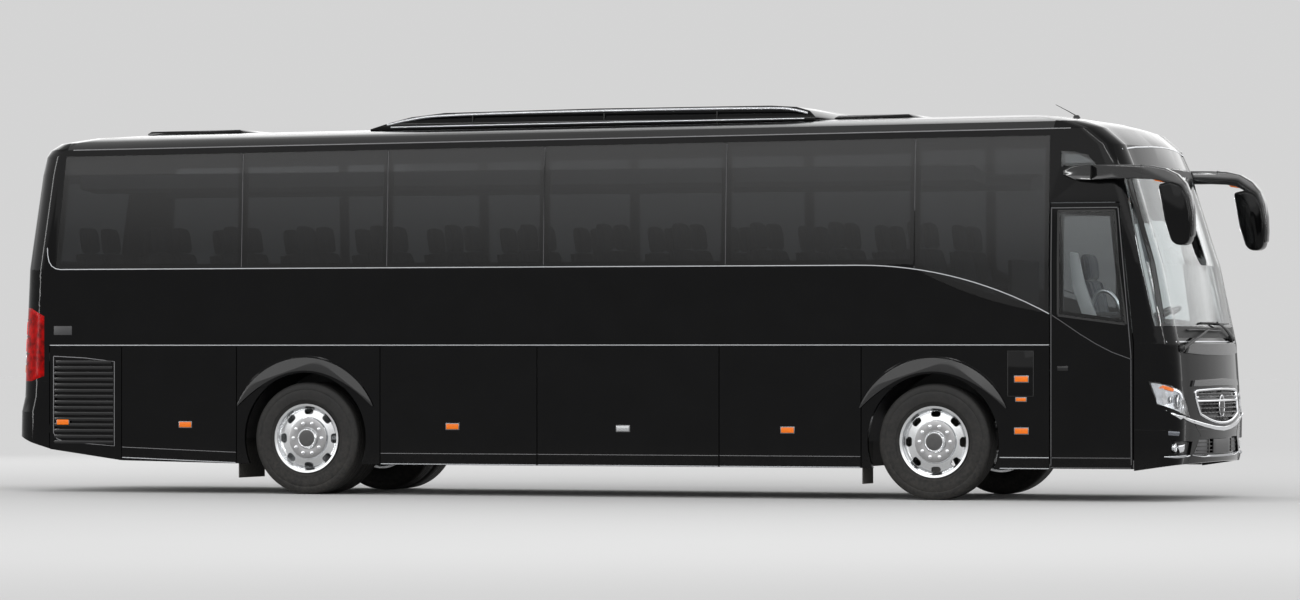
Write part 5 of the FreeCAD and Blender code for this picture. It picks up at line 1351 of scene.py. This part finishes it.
    def wipers(self) -> None:
        """Two wipers at rest over the foot of the windscreen."""
        rows = (("right", -1.043, 1.36, -0.371, 1.527, -0.85, 0.12),
                ("left", 0.62, 1.445, -0.036, 1.592, -0.46, 0.6))
        for word, pivot_y, pivot_z, end_y, end_z, tip_a, tip_b in rows:
            pivot, end = on_front(pivot_y, pivot_z, 0.03), on_front(end_y, end_z, 0.045)
            middle = on_front((pivot_y + end_y) / 2, (pivot_z + end_z) / 2 + 0.02, 0.06)
            places = [(tip_a + (tip_b - tip_a) * step / 6,
                       end_z - 0.006 + 0.004 * math.sin(step)) for step in range(7)]
            parts = [drum("base", on_front(pivot_y, pivot_z, 0.012), 0.032, 0.05, Axis.X, 0.006, 32),
                     drum("cap", on_front(pivot_y, pivot_z, 0.042), 0.018, 0.016, Axis.X, 0.004, 24),
                     tube("arm", (pivot, middle, end), 0.012, (1.5, 1.0, 0.7)),
                     tube("carrier", [on_front(y, z, 0.026) for y, z in places], 0.0065),
                     tube("rubber", [on_front(y, z, 0.012) for y, z in places], 0.008)]
            dress(one("wiper_" + word, parts), SATIN_BLACK, ROOT, ("wipers",))

    def headlamp(self, side: Side) -> None:
        """A lens over a bright reflector with its lamps.

        Args:
            side: the side it is on.
        """
        s = side.value

        def outer(centre: Vector, normal: Vector) -> bool:
            return centre.y * s > 0 and (normal.x > 0.2 or normal.y * s > 0.5) and abs(normal.z) < 0.5

        lens = skin("lamp_lens_" + side.word, "headlamps", 0.0, outer)
        applied(lens, "SOLIDIFY", thickness=0.004, offset=-1.0)
        dress(lens, LENS_GLASS, ROOT, ("headlamps",), 40.0)
        shape = flipped(side, ((1.268, 1.05), (1.198, 1.014), (1.084, 0.968), (1.01, 0.906), (0.948, 0.756),
                               (1.15, 0.792), (1.236, 0.836), (1.268, 0.87)))
        dress(self.hull.lay("lamp_bowl_" + side.word, shape, -0.03, 0.012, 0.03), LAMP_BOWL, ROOT)
        flank = ((5.388, 1.082), (5.44, 1.05), (5.52, 1.0), (5.56, 0.87), (5.5, 0.86), (5.46, 0.885))
        dress(side_slab("lamp_flank_" + side.word, flank, 1.262, 0.008, side), LAMP_BOWL, ROOT)
        for number, (y, z, radius) in enumerate(((1.12, 0.885, 0.064), (1.015, 0.825, 0.034),
                                                 (1.21, 0.905, 0.026))):
            place = on_front(s * y, z, -0.02)
            dress(hoop("lamp_ring_%d_%s" % (number, side.word), place, radius, 0.007, Axis.X), CHROME)
            dress(drum("lamp_eye_%d_%s" % (number, side.word), place, radius * 0.88, 0.016, Axis.X, 0.006,
                       40), LAMP_EYE)
            dress(drum("lamp_core_%d_%s" % (number, side.word), (place[0] + 0.006, *place[1:]), radius * 0.42,
                       0.016, Axis.X, 0.006, 32), LENS_BRIGHT)
        bar = ((s * 1.2, 1.002), (s * 1.14, 0.98), (s * 1.08, 0.955), (s * 1.02, 0.905))
        dress(self.hull.lay("lamp_bar_" + side.word, band(bar, 0.018), -0.008, 0.008, 0.04, 0.002), LED_BAR)
        amber = ((s * 1.262, 1.02), (s * 1.235, 1.006), (s * 1.195, 0.99))
        dress(self.hull.lay("lamp_amber_" + side.word, band(amber, 0.028), -0.006, 0.008, 0.03, 0.002),
              AMBER_LENS)
        wedge = flipped(side, ((1.262, 0.815), (1.2, 0.776), (1.12, 0.752), (1.16, 0.73), (1.225, 0.77)))
        dress(self.hull.lay("lamp_foot_" + side.word, wedge, 0.006, 0.012, 0.05, 0.003), CHROME)

    def fog_lamp(self, side: Side) -> None:
        """The round lamp in its recess, a bright fin beside it and a lip below."""
        s = side.value
        floor = flipped(side, ((1.22, 0.54), (1.16, 0.535), (0.89, 0.525), (0.94, 0.422), (1.22, 0.432)))
        dress(self.hull.lay("fog_recess_" + side.word, floor, 0.002, 0.006, 0.06), SATIN_BLACK)
        fin = flipped(side, ((1.145, 0.5), (0.99, 0.514), (1.06, 0.448), (1.13, 0.436)))
        dress(self.hull.lay("fog_fin_" + side.word, fin, 0.016, 0.014, 0.06, 0.003), CHROME)
        place = on_front(s * 1.19, 0.482, 0.016)
        dress(drum("fog_lens_" + side.word, place, 0.034, 0.032, Axis.X, 0.008, 40), LENS_BRIGHT, ROOT,
              ("fog_lamps",))
        dress(hoop("fog_ring_" + side.word, (place[0] + 0.012, place[1], place[2]), 0.036, 0.007, Axis.X),
              CHROME)
        lip = flipped(side, ((1.262, 0.402), (1.2, 0.4), (1.1, 0.403), (1.0, 0.408), (0.93, 0.408)))
        dress(self.hull.lay("fog_lip_" + side.word, band(lip, 0.022, 0.5), 0.01, 0.016, 0.05, 0.004),
              SILVER_LINE)
        small = flipped(side, ((1.25, 0.592), (1.18, 0.585), (1.17, 0.622), (1.25, 0.63)))
        dress(self.hull.lay("small_lamp_" + side.word, small, 0.005, 0.008, 0.05, 0.003), LAMP_EYE)


@dataclass
class RearEnd:
    """Tail lamps, window border, lid slats and plate of the rear."""

    hull: Hull

    def build(self) -> None:
        """Make everything on the rear."""
        lamps = skin("tail_lens", "tail_lamps", 0.006)
        dress(lamps, RED_LENS, ROOT, ("tail_lamps",), 40.0)
        for side in Side:
            s = side.value
            lenses = ((1.13, 1.2, AMBER_LENS), (1.22, 1.29, LENS_BRIGHT), (1.33, 1.45, BRIGHT_RED),
                      (1.49, 1.61, BRIGHT_RED))
            for number, (low, high, finish) in enumerate(lenses):
                shape = ((s * 1.12, low), (s * 1.02, low), (s * 1.02, high), (s * 1.12, high))
                dress(self.hull.lay("tail_lamp_%d_%s" % (number, side.word), shape, 0.006, 0.01, 0.04, 0.003),
                      finish)
            for number, z in enumerate((1.31, 1.47, 1.63)):
                line = band(((s * 0.995, z), (s * 1.22, z)), 0.008)
                dress(self.hull.lay("tail_seam_%d_%s" % (number, side.word), line, 0.003, 0.006, 0.05),
                      SEAM_BLACK)
            # The reflectors take the red lamp lens with its faint glow: a painted glow on a part that is no
            # lamp.
            reflector = ((s * 0.98, 0.62), (s * 0.84, 0.62), (s * 0.84, 0.66), (s * 0.98, 0.66))
            dress(self.hull.lay("rear_reflector_" + side.word, reflector, 0.008, 0.012, 0.06, 0.003),
                  RED_LENS)
        for number in range(9):
            z = 0.9 + 0.042 * number
            slat = self.hull.lay("lid_slat_%d" % number, band(((-0.62, z), (0.62, z)), 0.018), 0.008, 0.012,
                                 0.12, 0.003)
            dress(slat, SATIN_BLACK, "engine_lid")
        handle = ((-0.11, 1.41), (0.11, 1.41), (0.11, 1.44), (-0.11, 1.44))
        dress(self.hull.lay("lid_handle", handle, 0.018, 0.022, 0.08, 0.006), SATIN_BLACK, "engine_lid")
        plate = ((-0.26, 1.55), (0.26, 1.55), (0.26, 1.67), (-0.26, 1.67))
        dress(self.hull.lay("rear_plate", plate, 0.008, 0.01, 0.12, 0.003), PLATE_WHITE, "engine_lid")
        for label, path in (("low", ((-0.98, 2.18), (0.98, 2.18))), ("high", ((-0.98, 2.98), (0.98, 2.98))),
                            ("right", ((-0.985, 2.16), (-0.985, 3.0))),
                            ("left", ((0.985, 2.16), (0.985, 3.0)))):
            dress(self.hull.lay("rear_border_" + label, band(path, 0.05), 0.0012, 0.003, 0.12), SEAM_BLACK)
        stop = ((-0.2, 3.06), (0.2, 3.06), (0.2, 3.085), (-0.2, 3.085))
        dress(self.hull.lay("high_stop_lamp", stop, 0.006, 0.01, 0.08, 0.003), RED_LENS)
        self.hull.drop()


# ------------------------------------------------------------------------------------------------------
# Mirrors and roof
# ------------------------------------------------------------------------------------------------------
@dataclass
class Mirror:
    """A hanging mirror on its broad arm."""

    side: Side
    y: float = 1.415
    half: float = 0.098
    root: Point2 = (4.6, 1.235)
    bend: float = 4.86

    @property
    def lift(self) -> float:
        """How much higher this side's arm runs."""
        return 0.03 if self.side is Side.LEFT else 0.0

    def across(self, x: float) -> float:
        """Distance of the arm's middle from mid-plane at a place along the coach."""
        if x >= self.bend:
            return self.y
        return self.root[1] + (self.y - self.root[1]) * (x - self.root[0]) / (self.bend - self.root[0])

    def arm(self) -> bpy.types.Object:
        """The arm, which runs forward from its root and down the front edge of the head."""
        top = ((4.6, 2.94), (4.7, 2.972), (4.86, 2.978), (5.1, 2.978), (5.3, 2.974), (5.45, 2.966),
               (5.58, 2.94), (5.69, 2.886), (5.765, 2.805), (5.812, 2.69), (5.833, 2.57), (5.838, 2.44),
               (5.832, 2.34))
        foot = ((5.8, 2.33), (5.786, 2.44), (5.768, 2.57), (5.733, 2.67), (5.68, 2.745), (5.61, 2.8),
                (5.54, 2.83), (5.45, 2.846), (5.3, 2.853), (5.1, 2.852), (4.86, 2.846), (4.72, 2.85),
                (4.6, 2.895))
        thing = side_slab("mirror_arm_" + self.side.word, top + foot, self.y + 0.055, 0.11, self.side)
        for vertex in thing.data.vertices:
            vertex.co.y += self.side.value * (self.across(vertex.co.x) - self.y)
            vertex.co.z += self.lift * min(1.0, max(0.0, (5.84 - vertex.co.x) / 0.3))
        return bevelled(thing, 0.028, 4, 50.0)

    def build(self) -> None:
        """Make the arm, the case and the glass."""
        s = self.side.value
        word = self.side.word
        dress(self.arm(), ARM_BLACK, ROOT, ("mirrors",), 50.0)
        for number, x in enumerate((4.9, 5.36)):
            low, high = 2.85 + self.lift, 2.975 + self.lift
            outline = ((x, low), (x + 0.005, low), (x + 0.005, high), (x, high))
            seam = side_slab("arm_seam_%d_%s" % (number, word), outline, self.y + 0.0555, 0.111, self.side,
                             0.001)
            dress(seam, SEAM_BLACK)
        outline = ((5.525, 2.8), (5.583, 2.485), (5.642, 2.3), (5.69, 2.264), (5.765, 2.264), (5.805, 2.3),
                   (5.818, 2.4), (5.815, 2.55), (5.79, 2.68), (5.73, 2.79), (5.64, 2.825))
        case = side_slab("mirror_case_" + word, outline, self.y + self.half, 2 * self.half, self.side, 0.035,
                         4)
        dress(case, BLACK_PAINT, ROOT, ("mirrors",), 50.0)
        rows = (((5.53, 2.755), (5.585, 2.475)), ((5.588, 2.46), (5.64, 2.31)))
        for number, (top, foot) in enumerate(rows):
            corners = ((top[0], s * (self.y - 0.066), top[1]), (top[0], s * (self.y + 0.066), top[1]),
                       (foot[0], s * (self.y + 0.066), foot[1]), (foot[0], s * (self.y - 0.066), foot[1]))
            glass = slab("mirror_glass_%d_%s" % (number, word), corners, (-0.004, 0.0, 0.0), 0.001)
            dress(glass, MIRROR_SILVER)
        outline = ((5.46, 2.856), (5.59, 2.838), (5.59, 2.812), (5.48, 2.83))
        lamp = side_slab("mirror_lamp_" + word, outline, self.y + 0.03, 0.06, self.side, 0.006, 2)
        shifted(lamp, (0.0, 0.0, self.lift * 0.9))
        dress(lamp, AMBER_LENS)


@dataclass
class RoofTop:
    """The air conditioner, the hatches and the aerial."""

    def build(self) -> None:
        """Make what stands on the roof."""
        unit = skin("roof_unit", "air_conditioner", 0.0)
        bevelled(unit, 0.04, 4, 40.0)
        dress(unit, BLACK_PAINT, ROOT, ("air_conditioner",), 50.0)
        for side in Side:
            s = side.value
            rail = tube("unit_rail_" + side.word,
                        ((-2.06, s * 0.79, 3.448), (-1.82, s * 0.79, 3.5), (-1.5, s * 0.79, 3.532),
                         (0.0, s * 0.79, 3.551), (1.7, s * 0.79, 3.553), (1.94, s * 0.79, 3.54),
                         (2.07, s * 0.79, 3.5)), 0.013)
            dress(rail, SILVER_LINE)
            foot_rail = tube("unit_foot_" + side.word,
                             ((-2.02, s * 0.8, 3.425), (-1.2, s * 0.802, 3.432), (0.0, s * 0.802, 3.441),
                              (1.2, s * 0.802, 3.448), (2.04, s * 0.8, 3.452)), 0.009)
            dress(foot_rail, SILVER_LINE)
            for number, x in enumerate((-1.2, 0.1, 1.2)):
                seam = block("unit_seam_%d_%s" % (number, side.word), (x - 0.004, s * 0.795 - 0.008, 3.42),
                             (x + 0.004, s * 0.795 + 0.008, 3.53), 0.001)
                dress(seam, SEAM_BLACK)
        for number, x in enumerate((-1.25, -0.35, 0.55, 1.35)):
            top = 3.5575 + 0.0125 * min(1.0, (x + 1.5) / 1.5) if x < 0 else 3.572
            parts = [hoop("fan_rim", (x, 0.0, top), 0.26, 0.007, Axis.Z)]
            parts += [hoop("fan_guard", (x, 0.0, top + 0.002), radius, 0.0025, Axis.Z, 48)
                      for radius in (0.07, 0.12, 0.17, 0.22)]
            parts.append(drum("fan_hub", (x, 0.0, top), 0.06, 0.012, Axis.Z, 0.003, 32))
            dress(one("roof_fan_%d" % number, parts), SATIN_BLACK)
        for word in ("front", "rear"):
            label = "roof_hatch_" + word
            lid = skin(label + "_lid", label, 0.01)
            dress(lid, BLACK_PAINT, label, (label,), 40.0)
        foot = cast(("roof", "front_frame"), (4.45, -0.25, 4.0), (0.0, 0.0, -1.0)).z
        base = drum("aerial_base", (4.45, -0.25, foot + 0.012), 0.04, 0.03, Axis.Z, 0.008, 32, 0.022)
        whip = tube("aerial_whip",
                    ((4.45, -0.25, foot + 0.02), (4.37, -0.25, foot + 0.065), (4.255, -0.25, foot + 0.125)),
                    0.0045, (1.0, 0.8, 0.5), False)
        dress(one("aerial", (base, whip)), SATIN_BLACK)


# ------------------------------------------------------------------------------------------------------
# Seats and cabin
# ------------------------------------------------------------------------------------------------------
@dataclass
class Seat:
    """A passenger seat of shell, cushion, back and headrest, as built at a place."""

    width: float = 0.44
    foot: float = 1.33
    ease: float = 0.02
    pull: float = 0.03
    sections: tuple[Point2, ...] = ((-1.0, -0.016), (-0.965, -0.005), (-0.93, 0.003), (-0.9, -0.003),
                                    (-0.78, 0.005), (-0.64, 0.004), (-0.6, -0.006), (-0.56, 0.004),
                                    (-0.3, 0.009), (0.0, 0.011), (0.3, 0.009), (0.56, 0.004), (0.6, -0.006),
                                    (0.64, 0.004), (0.78, 0.005), (0.9, -0.003), (0.93, 0.003),
                                    (0.965, -0.005), (1.0, -0.016))

    def soft(self, name: str, outline: Sequence[Point2], y: float, width: float) -> bpy.types.Object:
        """A crowned pad with a welt at each side and two sewn channels; its sides pull in between corners.

        Args:
            name: name of the pad.
            outline: its side view's corners of (x, z) from the seat's own origin.
            y: its middle across the coach.
            width: its width.

        Returns:
            The object.
        """
        path = eased([(x, z + self.foot) for x, z in outline], self.ease)
        spans = [max(row) - min(row) for row in zip(*path)]
        axis = spans.index(max(spans))
        start = min(point[axis] for point in path)
        outs = outward(path)
        half = width / 2
        pad = profile(name, [(x, y - half, z) for x, z in path], True)
        for before, after in zip(self.sections, self.sections[1:]):
            step = (0.0, (after[0] - before[0]) * half, 0.0)
            bpy.ops.mesh.extrude_region_move(TRANSFORM_OT_translate={"value": step})
        turn_out()
        for vertex in pad.data.vertices:
            place = (vertex.co.x, vertex.co.z)
            number = min(range(len(path)), key=lambda index: math.dist(path[index], place))
            across = (vertex.co.y - y) / half
            lift = min(self.sections, key=lambda row: abs(row[0] - across))[1]
            out = outs[number]
            if out[1] < -0.5:
                lift = min(lift, 0.0)
            along = (path[number][axis] - start) / spans[axis]
            vertex.co = (vertex.co.x + out[0] * lift,
                         y + across * half * (1.0 - 4.0 * self.pull * along * (1.0 - along)),
                         vertex.co.z + out[1] * lift)
        return pad

    def hard(self, name: str, outline: Sequence[Point2], y: float, width: float) -> bpy.types.Object:
        """A moulded part of a side-view outline."""
        corners = [(x, y - width / 2, z + self.foot) for x, z in outline]
        return slab(name, corners, (0.0, width, 0.0), 0.008, 3)

    def pads(self, y: float) -> list[bpy.types.Object]:
        """The cushion, the back with its side bolsters and the headrest of one seat."""
        rows = (("cushion", self.width, ((0.2, 0.36), (0.53, 0.375), (0.54, 0.44), (0.5, 0.468),
                                         (0.2, 0.455))),
                ("back", self.width, ((0.105, 0.43), (0.2, 0.45), (0.125, 0.8), (0.085, 0.93), (0.025, 0.92),
                                      (0.06, 0.7))),
                ("headrest", self.width * 0.66, ((0.025, 0.93), (0.085, 0.945), (0.07, 1.1), (0.045, 1.165),
                                                 (0.005, 1.17), (-0.005, 1.12))),
                ("wing", self.width + 0.012, ((0.09, 0.5), (0.16, 0.5), (0.115, 0.82), (0.06, 0.82))))
        return [self.soft(label, outline, y, width) for label, width, outline in rows]

    def shell(self, y: float) -> list[bpy.types.Object]:
        """The hard parts of one seat."""
        rows = (((0.02, 0.42), (0.105, 0.42), (0.058, 0.7), (0.02, 0.92), (-0.008, 0.92), (0.02, 0.7)),
                ((0.18, 0.33), (0.52, 0.35), (0.52, 0.37), (0.18, 0.355)))
        parts = [self.hard("shell", outline, y, self.width - 0.02) for outline in rows]
        for out in (-1, 1):
            arm = y + out * (self.width / 2 - 0.008)
            parts.append(block("armrest", (0.16, arm - 0.022, self.foot + 0.6),
                               (0.46, arm + 0.022, self.foot + 0.64), 0.012, 3))
        parts.append(block("pedestal", (0.24, y - 0.05, self.foot), (0.42, y + 0.05, self.foot + 0.34),
                           0.008))
        return parts


@dataclass
class Cabin:
    """The seats, racks and driver's place that show through the glass."""

    rows: int = 12
    pitch: float = 0.745
    rear: float = -5.09
    places: Point2 = (0.475, 0.945)

    def build(self) -> None:
        """Make the inside of the coach."""
        self.passenger_seats()
        self.driver_place()
        self.racks()

    def passenger_seats(self) -> None:
        """One seat, copied in pairs along both sides of the saloon."""
        pads, shells = one("pads", Seat().pads(0.0)), one("shells", Seat().shell(0.0))
        for side in Side:
            for label, source, finish in (("seat_pads", pads, SEAT_CLOTH),
                                          ("seat_shells", shells, SEAT_SHELL)):
                copies = [shifted(copied("row", source),
                                  (self.rear + self.pitch * number, side.value * y,
                                   0.0)) for number in range(self.rows) for y in self.places]
                piece = one("%s_%s" % (label, side.word), copies)
                dress(piece, finish, ROOT, ("passenger_seats",), 45.0)
        for source in (pads, shells):
            bpy.data.objects.remove(source)

    def driver_place(self) -> None:
        """The driver's seat, the hand rail and the instruments."""
        seat = Seat(0.52, 1.05)
        pads, shell = one("driver_seat_pads", seat.pads(0.68)), one("driver_seat_shell", seat.shell(0.68))
        for piece, finish in ((pads, SEAT_CLOTH), (shell, SEAT_SHELL)):
            shifted(piece, (4.29, 0.0, 0.0))
            dress(piece, finish, ROOT, ("driver_seat",), 45.0)
        board = skin("dashboard_skin", "dashboard", 0.0)
        bevelled(board, 0.012, 3, 40.0)
        dress(board, DASH_PLASTIC, ROOT, ("dashboard",), 50.0)
        hood = block("instrument_hood", (5.14, 0.44, 1.44), (5.3, 0.92, 1.53), 0.03, 4)
        dress(hood, DASH_PLASTIC)
        rail = tube("entry_rail", ((5.02, -0.5, 1.0), (5.0, -0.52, 1.45), (4.9, -0.54, 1.85),
                                   (4.7, -0.54, 1.9), (4.62, -0.54, 1.5), (4.6, -0.54, 1.0)), 0.017)
        dress(rail, SILVER_LINE)
        panel = ((4.58, 2.22), (4.66, 2.21), (4.72, 1.95), (4.84, 1.62), (4.72, 1.6), (4.6, 1.92))
        dress(side_slab("entry_panel", panel, 0.98, 0.03, Side.RIGHT, 0.01), LINING)
        screen = side_slab("entry_screen", ((4.06, 1.36), (4.1, 1.36), (4.1, 2.15), (4.06, 2.15)), 1.15, 0.9,
                           Side.RIGHT, 0.012)
        dress(screen, SEAT_SHELL)

    def racks(self) -> None:
        """The luggage racks under the roof, in lining, and the lined trims of the front pillars."""
        for side in Side:
            s = side.value
            outline = ((s * 1.16, 2.86), (s * 0.8, 2.83), (s * 0.75, 2.88), (s * 0.78, 2.94), (s * 1.16, 3.0))
            corners = [(-5.05, y, z) for y, z in outline]
            dress(slab("luggage_rack_" + side.word, corners, (8.8, 0.0, 0.0), 0.012, 2), LINING)
            post = [(5.16, s * 1.12, 2.9), (5.3, s * 1.17, 2.3), (5.4, s * 1.19, 1.9), (5.48, s * 1.195, 1.5)]
            dress(tube("pillar_trim_" + side.word, post, 0.016), LINING)


# ------------------------------------------------------------------------------------------------------
# Entrance and chassis
# ------------------------------------------------------------------------------------------------------
@dataclass
class Entrance:
    """What is fixed to the entrance door, and the flap beside it."""

    def build(self) -> None:
        """Make the door's seal, its handle and the filler flap."""
        rows = (("rear", ((4.556, 1.66), (4.556, 2.11), (4.556, 2.574))),
                ("top", ((4.55, 2.578), (5.07, 2.578))),
                ("front", ((5.175, 1.572), (5.119, 2.11), (5.068, 2.576))),
                ("foot", ((4.554, 1.652), (5.17, 1.572))))
        for label, path in rows:
            dress(draped("door_seal_" + label, band(path, 0.02), 0.002, 0.006, Side.RIGHT), SEAM_BLACK,
                  "door_leaf")
        handle = side_slab("door_handle", box_outline(4.6, 1.18, 0.05, 0.022), 1.281, 0.01, Side.RIGHT, 0.004)
        dress(handle, RELIEF_PAINT, "door_leaf")
        self.door_frame()
        # A grey strip along the door's crease: a painted highlight standing in for the shading edge of the
        # body's contour.
        curve = [(4.49, 1.66), (4.6, 1.59), (4.75, 1.49), (4.9, 1.4), (5.05, 1.325), (5.225, 1.262)]
        line = side_slab("door_crease_highlight", band(curve, 0.006), 1.277, 0.004, Side.RIGHT)
        dress(line, GREY_MESH_AND_CREASE_HIGHLIGHT, "door_leaf")
        flap = side_slab("filler_flap", box_outline(4.212, 1.135, 0.115, 0.2), 1.277, 0.004, Side.RIGHT,
                         0.0015)
        dress(flap, BLACK_PAINT)
        seams = ((4.212, 1.335, 0.118, 0.003), (4.212, 0.935, 0.118, 0.003),
                 (4.094, 1.135, 0.003, 0.203), (4.33, 1.135, 0.003, 0.203))
        for number, (x, z, half_long, half_tall) in enumerate(seams):
            seam = side_slab("filler_seam_%d" % number, box_outline(x, z, half_long, half_tall), 1.2765,
                             0.004, Side.RIGHT)
            dress(seam, SEAM_BLACK)

    def door_frame(self) -> None:
        """Grey lines round the door leaf, a painted highlight of its gap edges, and the lines along its foot.
        """
        rows = (("rear", ((4.492, 0.32), (4.492, 2.11), (4.492, 2.6))),
                ("top", ((4.488, 2.606), (5.095, 2.606))),
                ("front", ((5.226, 0.33), (5.222, 1.3), (5.15, 2.11), (5.1, 2.6))),
                ("low", ((4.49, 0.388), (5.224, 0.388))), ("foot", ((4.49, 0.3), (5.224, 0.3))))
        for label, path in rows:
            dress(draped("door_edge_" + label, band(path, 0.009), 0.002, 0.004, Side.RIGHT), FAINT_EDGE,
                  "door_leaf")


@dataclass
class Chassis:
    """The plain parts below the floor."""

    def build(self) -> None:
        """Make the shaft, the tanks and the exhaust."""
        shaft = drum("drive_shaft", (-3.56, 0.0, 0.56), 0.055, 1.3, Axis.X, 0.006, 32)
        dress(shaft, CASTING)
        for number, y in enumerate((-0.72, 0.72)):
            tank = drum("air_tank_%d" % number, (-4.0, y, 0.62), 0.13, 0.8, Axis.X, 0.04, 40)
            dress(tank, CHASSIS)
        dress(tube("exhaust", ((-4.6, 0.42, 0.55), (-4.6, 0.75, 0.45), (-4.9, 0.9, 0.42), (-5.5, 0.9, 0.42)),
                   0.045), CASTING)


# ------------------------------------------------------------------------------------------------------
# Studio
# ------------------------------------------------------------------------------------------------------
@dataclass
class Studio:
    """Floor, backdrop colour, soft lights and camera."""

    eye: Point = (17.43, -48.47, 1.344)
    turn: float = 19.5
    focal: float = 152.31
    horizon: float = 0.66
    softbox: float = 1.7
    zenith: float = 0.85

    def build(self) -> None:
        """Set the stage, the lights and the camera."""
        self.floor()
        self.world()
        self.lights()
        self.camera()

    def floor(self) -> None:
        """A wide pale floor."""
        deselect()
        bpy.ops.mesh.primitive_plane_add(size=400.0, location=(0.0, 0.0, 0.0))
        ground = named("studio_floor")
        finish = Finish("Studio floor", (0.6, 0.6, 0.6), (0.59, 0.59, 0.59), patch_scale=0.4, roughness=0.7,
                        spread=0.0, dust=0.0, specular=0.0)
        ground.data.materials.append(finish.material())

    def world(self) -> None:
        """A pale backdrop with a broad soft band of light above it."""
        world = bpy.data.worlds.new("Studio")
        bpy.context.scene.world = world
        world.use_nodes = True
        nodes, links = world.node_tree.nodes, world.node_tree.links
        nodes.clear()
        out, glow = nodes.new("ShaderNodeOutputWorld"), nodes.new("ShaderNodeBackground")
        where, split = nodes.new("ShaderNodeTexCoord"), nodes.new("ShaderNodeSeparateXYZ")
        ramp = nodes.new("ShaderNodeValToRGB")
        links.new(where.outputs["Generated"], split.inputs[0])
        links.new(split.outputs["Z"], ramp.inputs["Fac"])
        bands = ((0.0, self.horizon), (0.09, self.horizon), (0.112, self.softbox), (0.5, self.softbox),
                 (0.62, self.zenith))
        stops = ramp.color_ramp.elements
        for number, (place, level) in enumerate(bands):
            stop = stops[number] if number < len(stops) else stops.new(place)
            stop.position, stop.color = place, (level, level, level, 1.0)
        links.new(ramp.outputs["Color"], glow.inputs["Color"])
        links.new(glow.outputs[0], out.inputs["Surface"])

    def lights(self) -> None:
        """Soft lamps above, and long narrow ones that draw lines on the paint."""
        rows = (("key", (6.0, -14.0, 11.0), (0.0, 0.0, 1.5), (12.0, 12.0), 420.0, True),
                ("back", (-12.0, 12.0, 9.0), (0.0, 0.0, 1.5), (12.0, 12.0), 250.0, True),
                ("strip_side", (0.0, -7.5, 7.0), (0.0, 0.0, 3.0), (17.0, 0.25), 300.0, False),
                ("strip_front", (12.5, -6.0, 5.5), (5.6, -0.6, 1.6), (0.5, 6.0), 220.0, False),
                ("strip_rear", (-12.5, -7.0, 3.5), (-5.8, -0.8, 1.8), (0.6, 6.0), 220.0, False))
        for label, place, aim, size, power, spreads in rows:
            deselect()
            bpy.ops.object.light_add(type="AREA", location=place)
            lamp = bpy.context.object
            lamp.name = "lamp_" + label
            lamp.data.shape, lamp.data.energy = "RECTANGLE", power
            lamp.data.size, lamp.data.size_y = size
            lamp.visible_diffuse = spreads
            lamp.rotation_euler = (Vector(aim) - Vector(place)).to_track_quat("-Z", "Y").to_euler()

    def camera(self) -> None:
        """The camera, level with the coach and a little ahead of its middle."""
        deselect()
        bpy.ops.object.camera_add(location=self.eye,
                                  rotation=(math.radians(90.0), 0.0, math.radians(self.turn)))
        camera = bpy.context.object
        camera.name = "studio_camera"
        camera.data.lens, camera.data.sensor_width = self.focal, 36.0
        camera.data.shift_y = 0.0385
        camera.data.clip_end = 1000.0
        bpy.context.scene.camera = camera


PLAIN_NODES = (("door_arm", CHASSIS), ("mud_flaps", SOFT_RUBBER), ("underframe", CHASSIS),
               ("luggage_bay", CHASSIS), ("engine_block", CASTING), ("front_axle", CASTING),
               ("rear_axle", CASTING), ("knuckle_right", CASTING), ("knuckle_left", CASTING),
               ("wheel_housings", SATIN_BLACK), ("floor", VINYL), ("entry_steps", VINYL))


def main() -> None:
    logging.basicConfig(level=logging.INFO, format="%(name)s %(message)s")
    bpy.context.scene.view_settings.view_transform = "Standard"
    for label, finish in PLAIN_NODES:
        coat(label, finish)
    Bodywork().build()
    Glazing().build()
    for side in Side:
        SideTrim(side).build()
        Wheel(side, "front", FRONT_AXLE, False).build()
        Wheel(side, "rear", REAR_AXLE, True).build()
    FrontEnd(Hull(End.FRONT, FRONT_NODES)).build()
    RearEnd(Hull(End.REAR, REAR_NODES)).build()
    for side in Side:
        Mirror(side).build()
    RoofTop().build()
    Entrance().build()
    Cabin().build()
    Chassis().build()
    Studio().build()


if __name__ == "__main__":
    main()
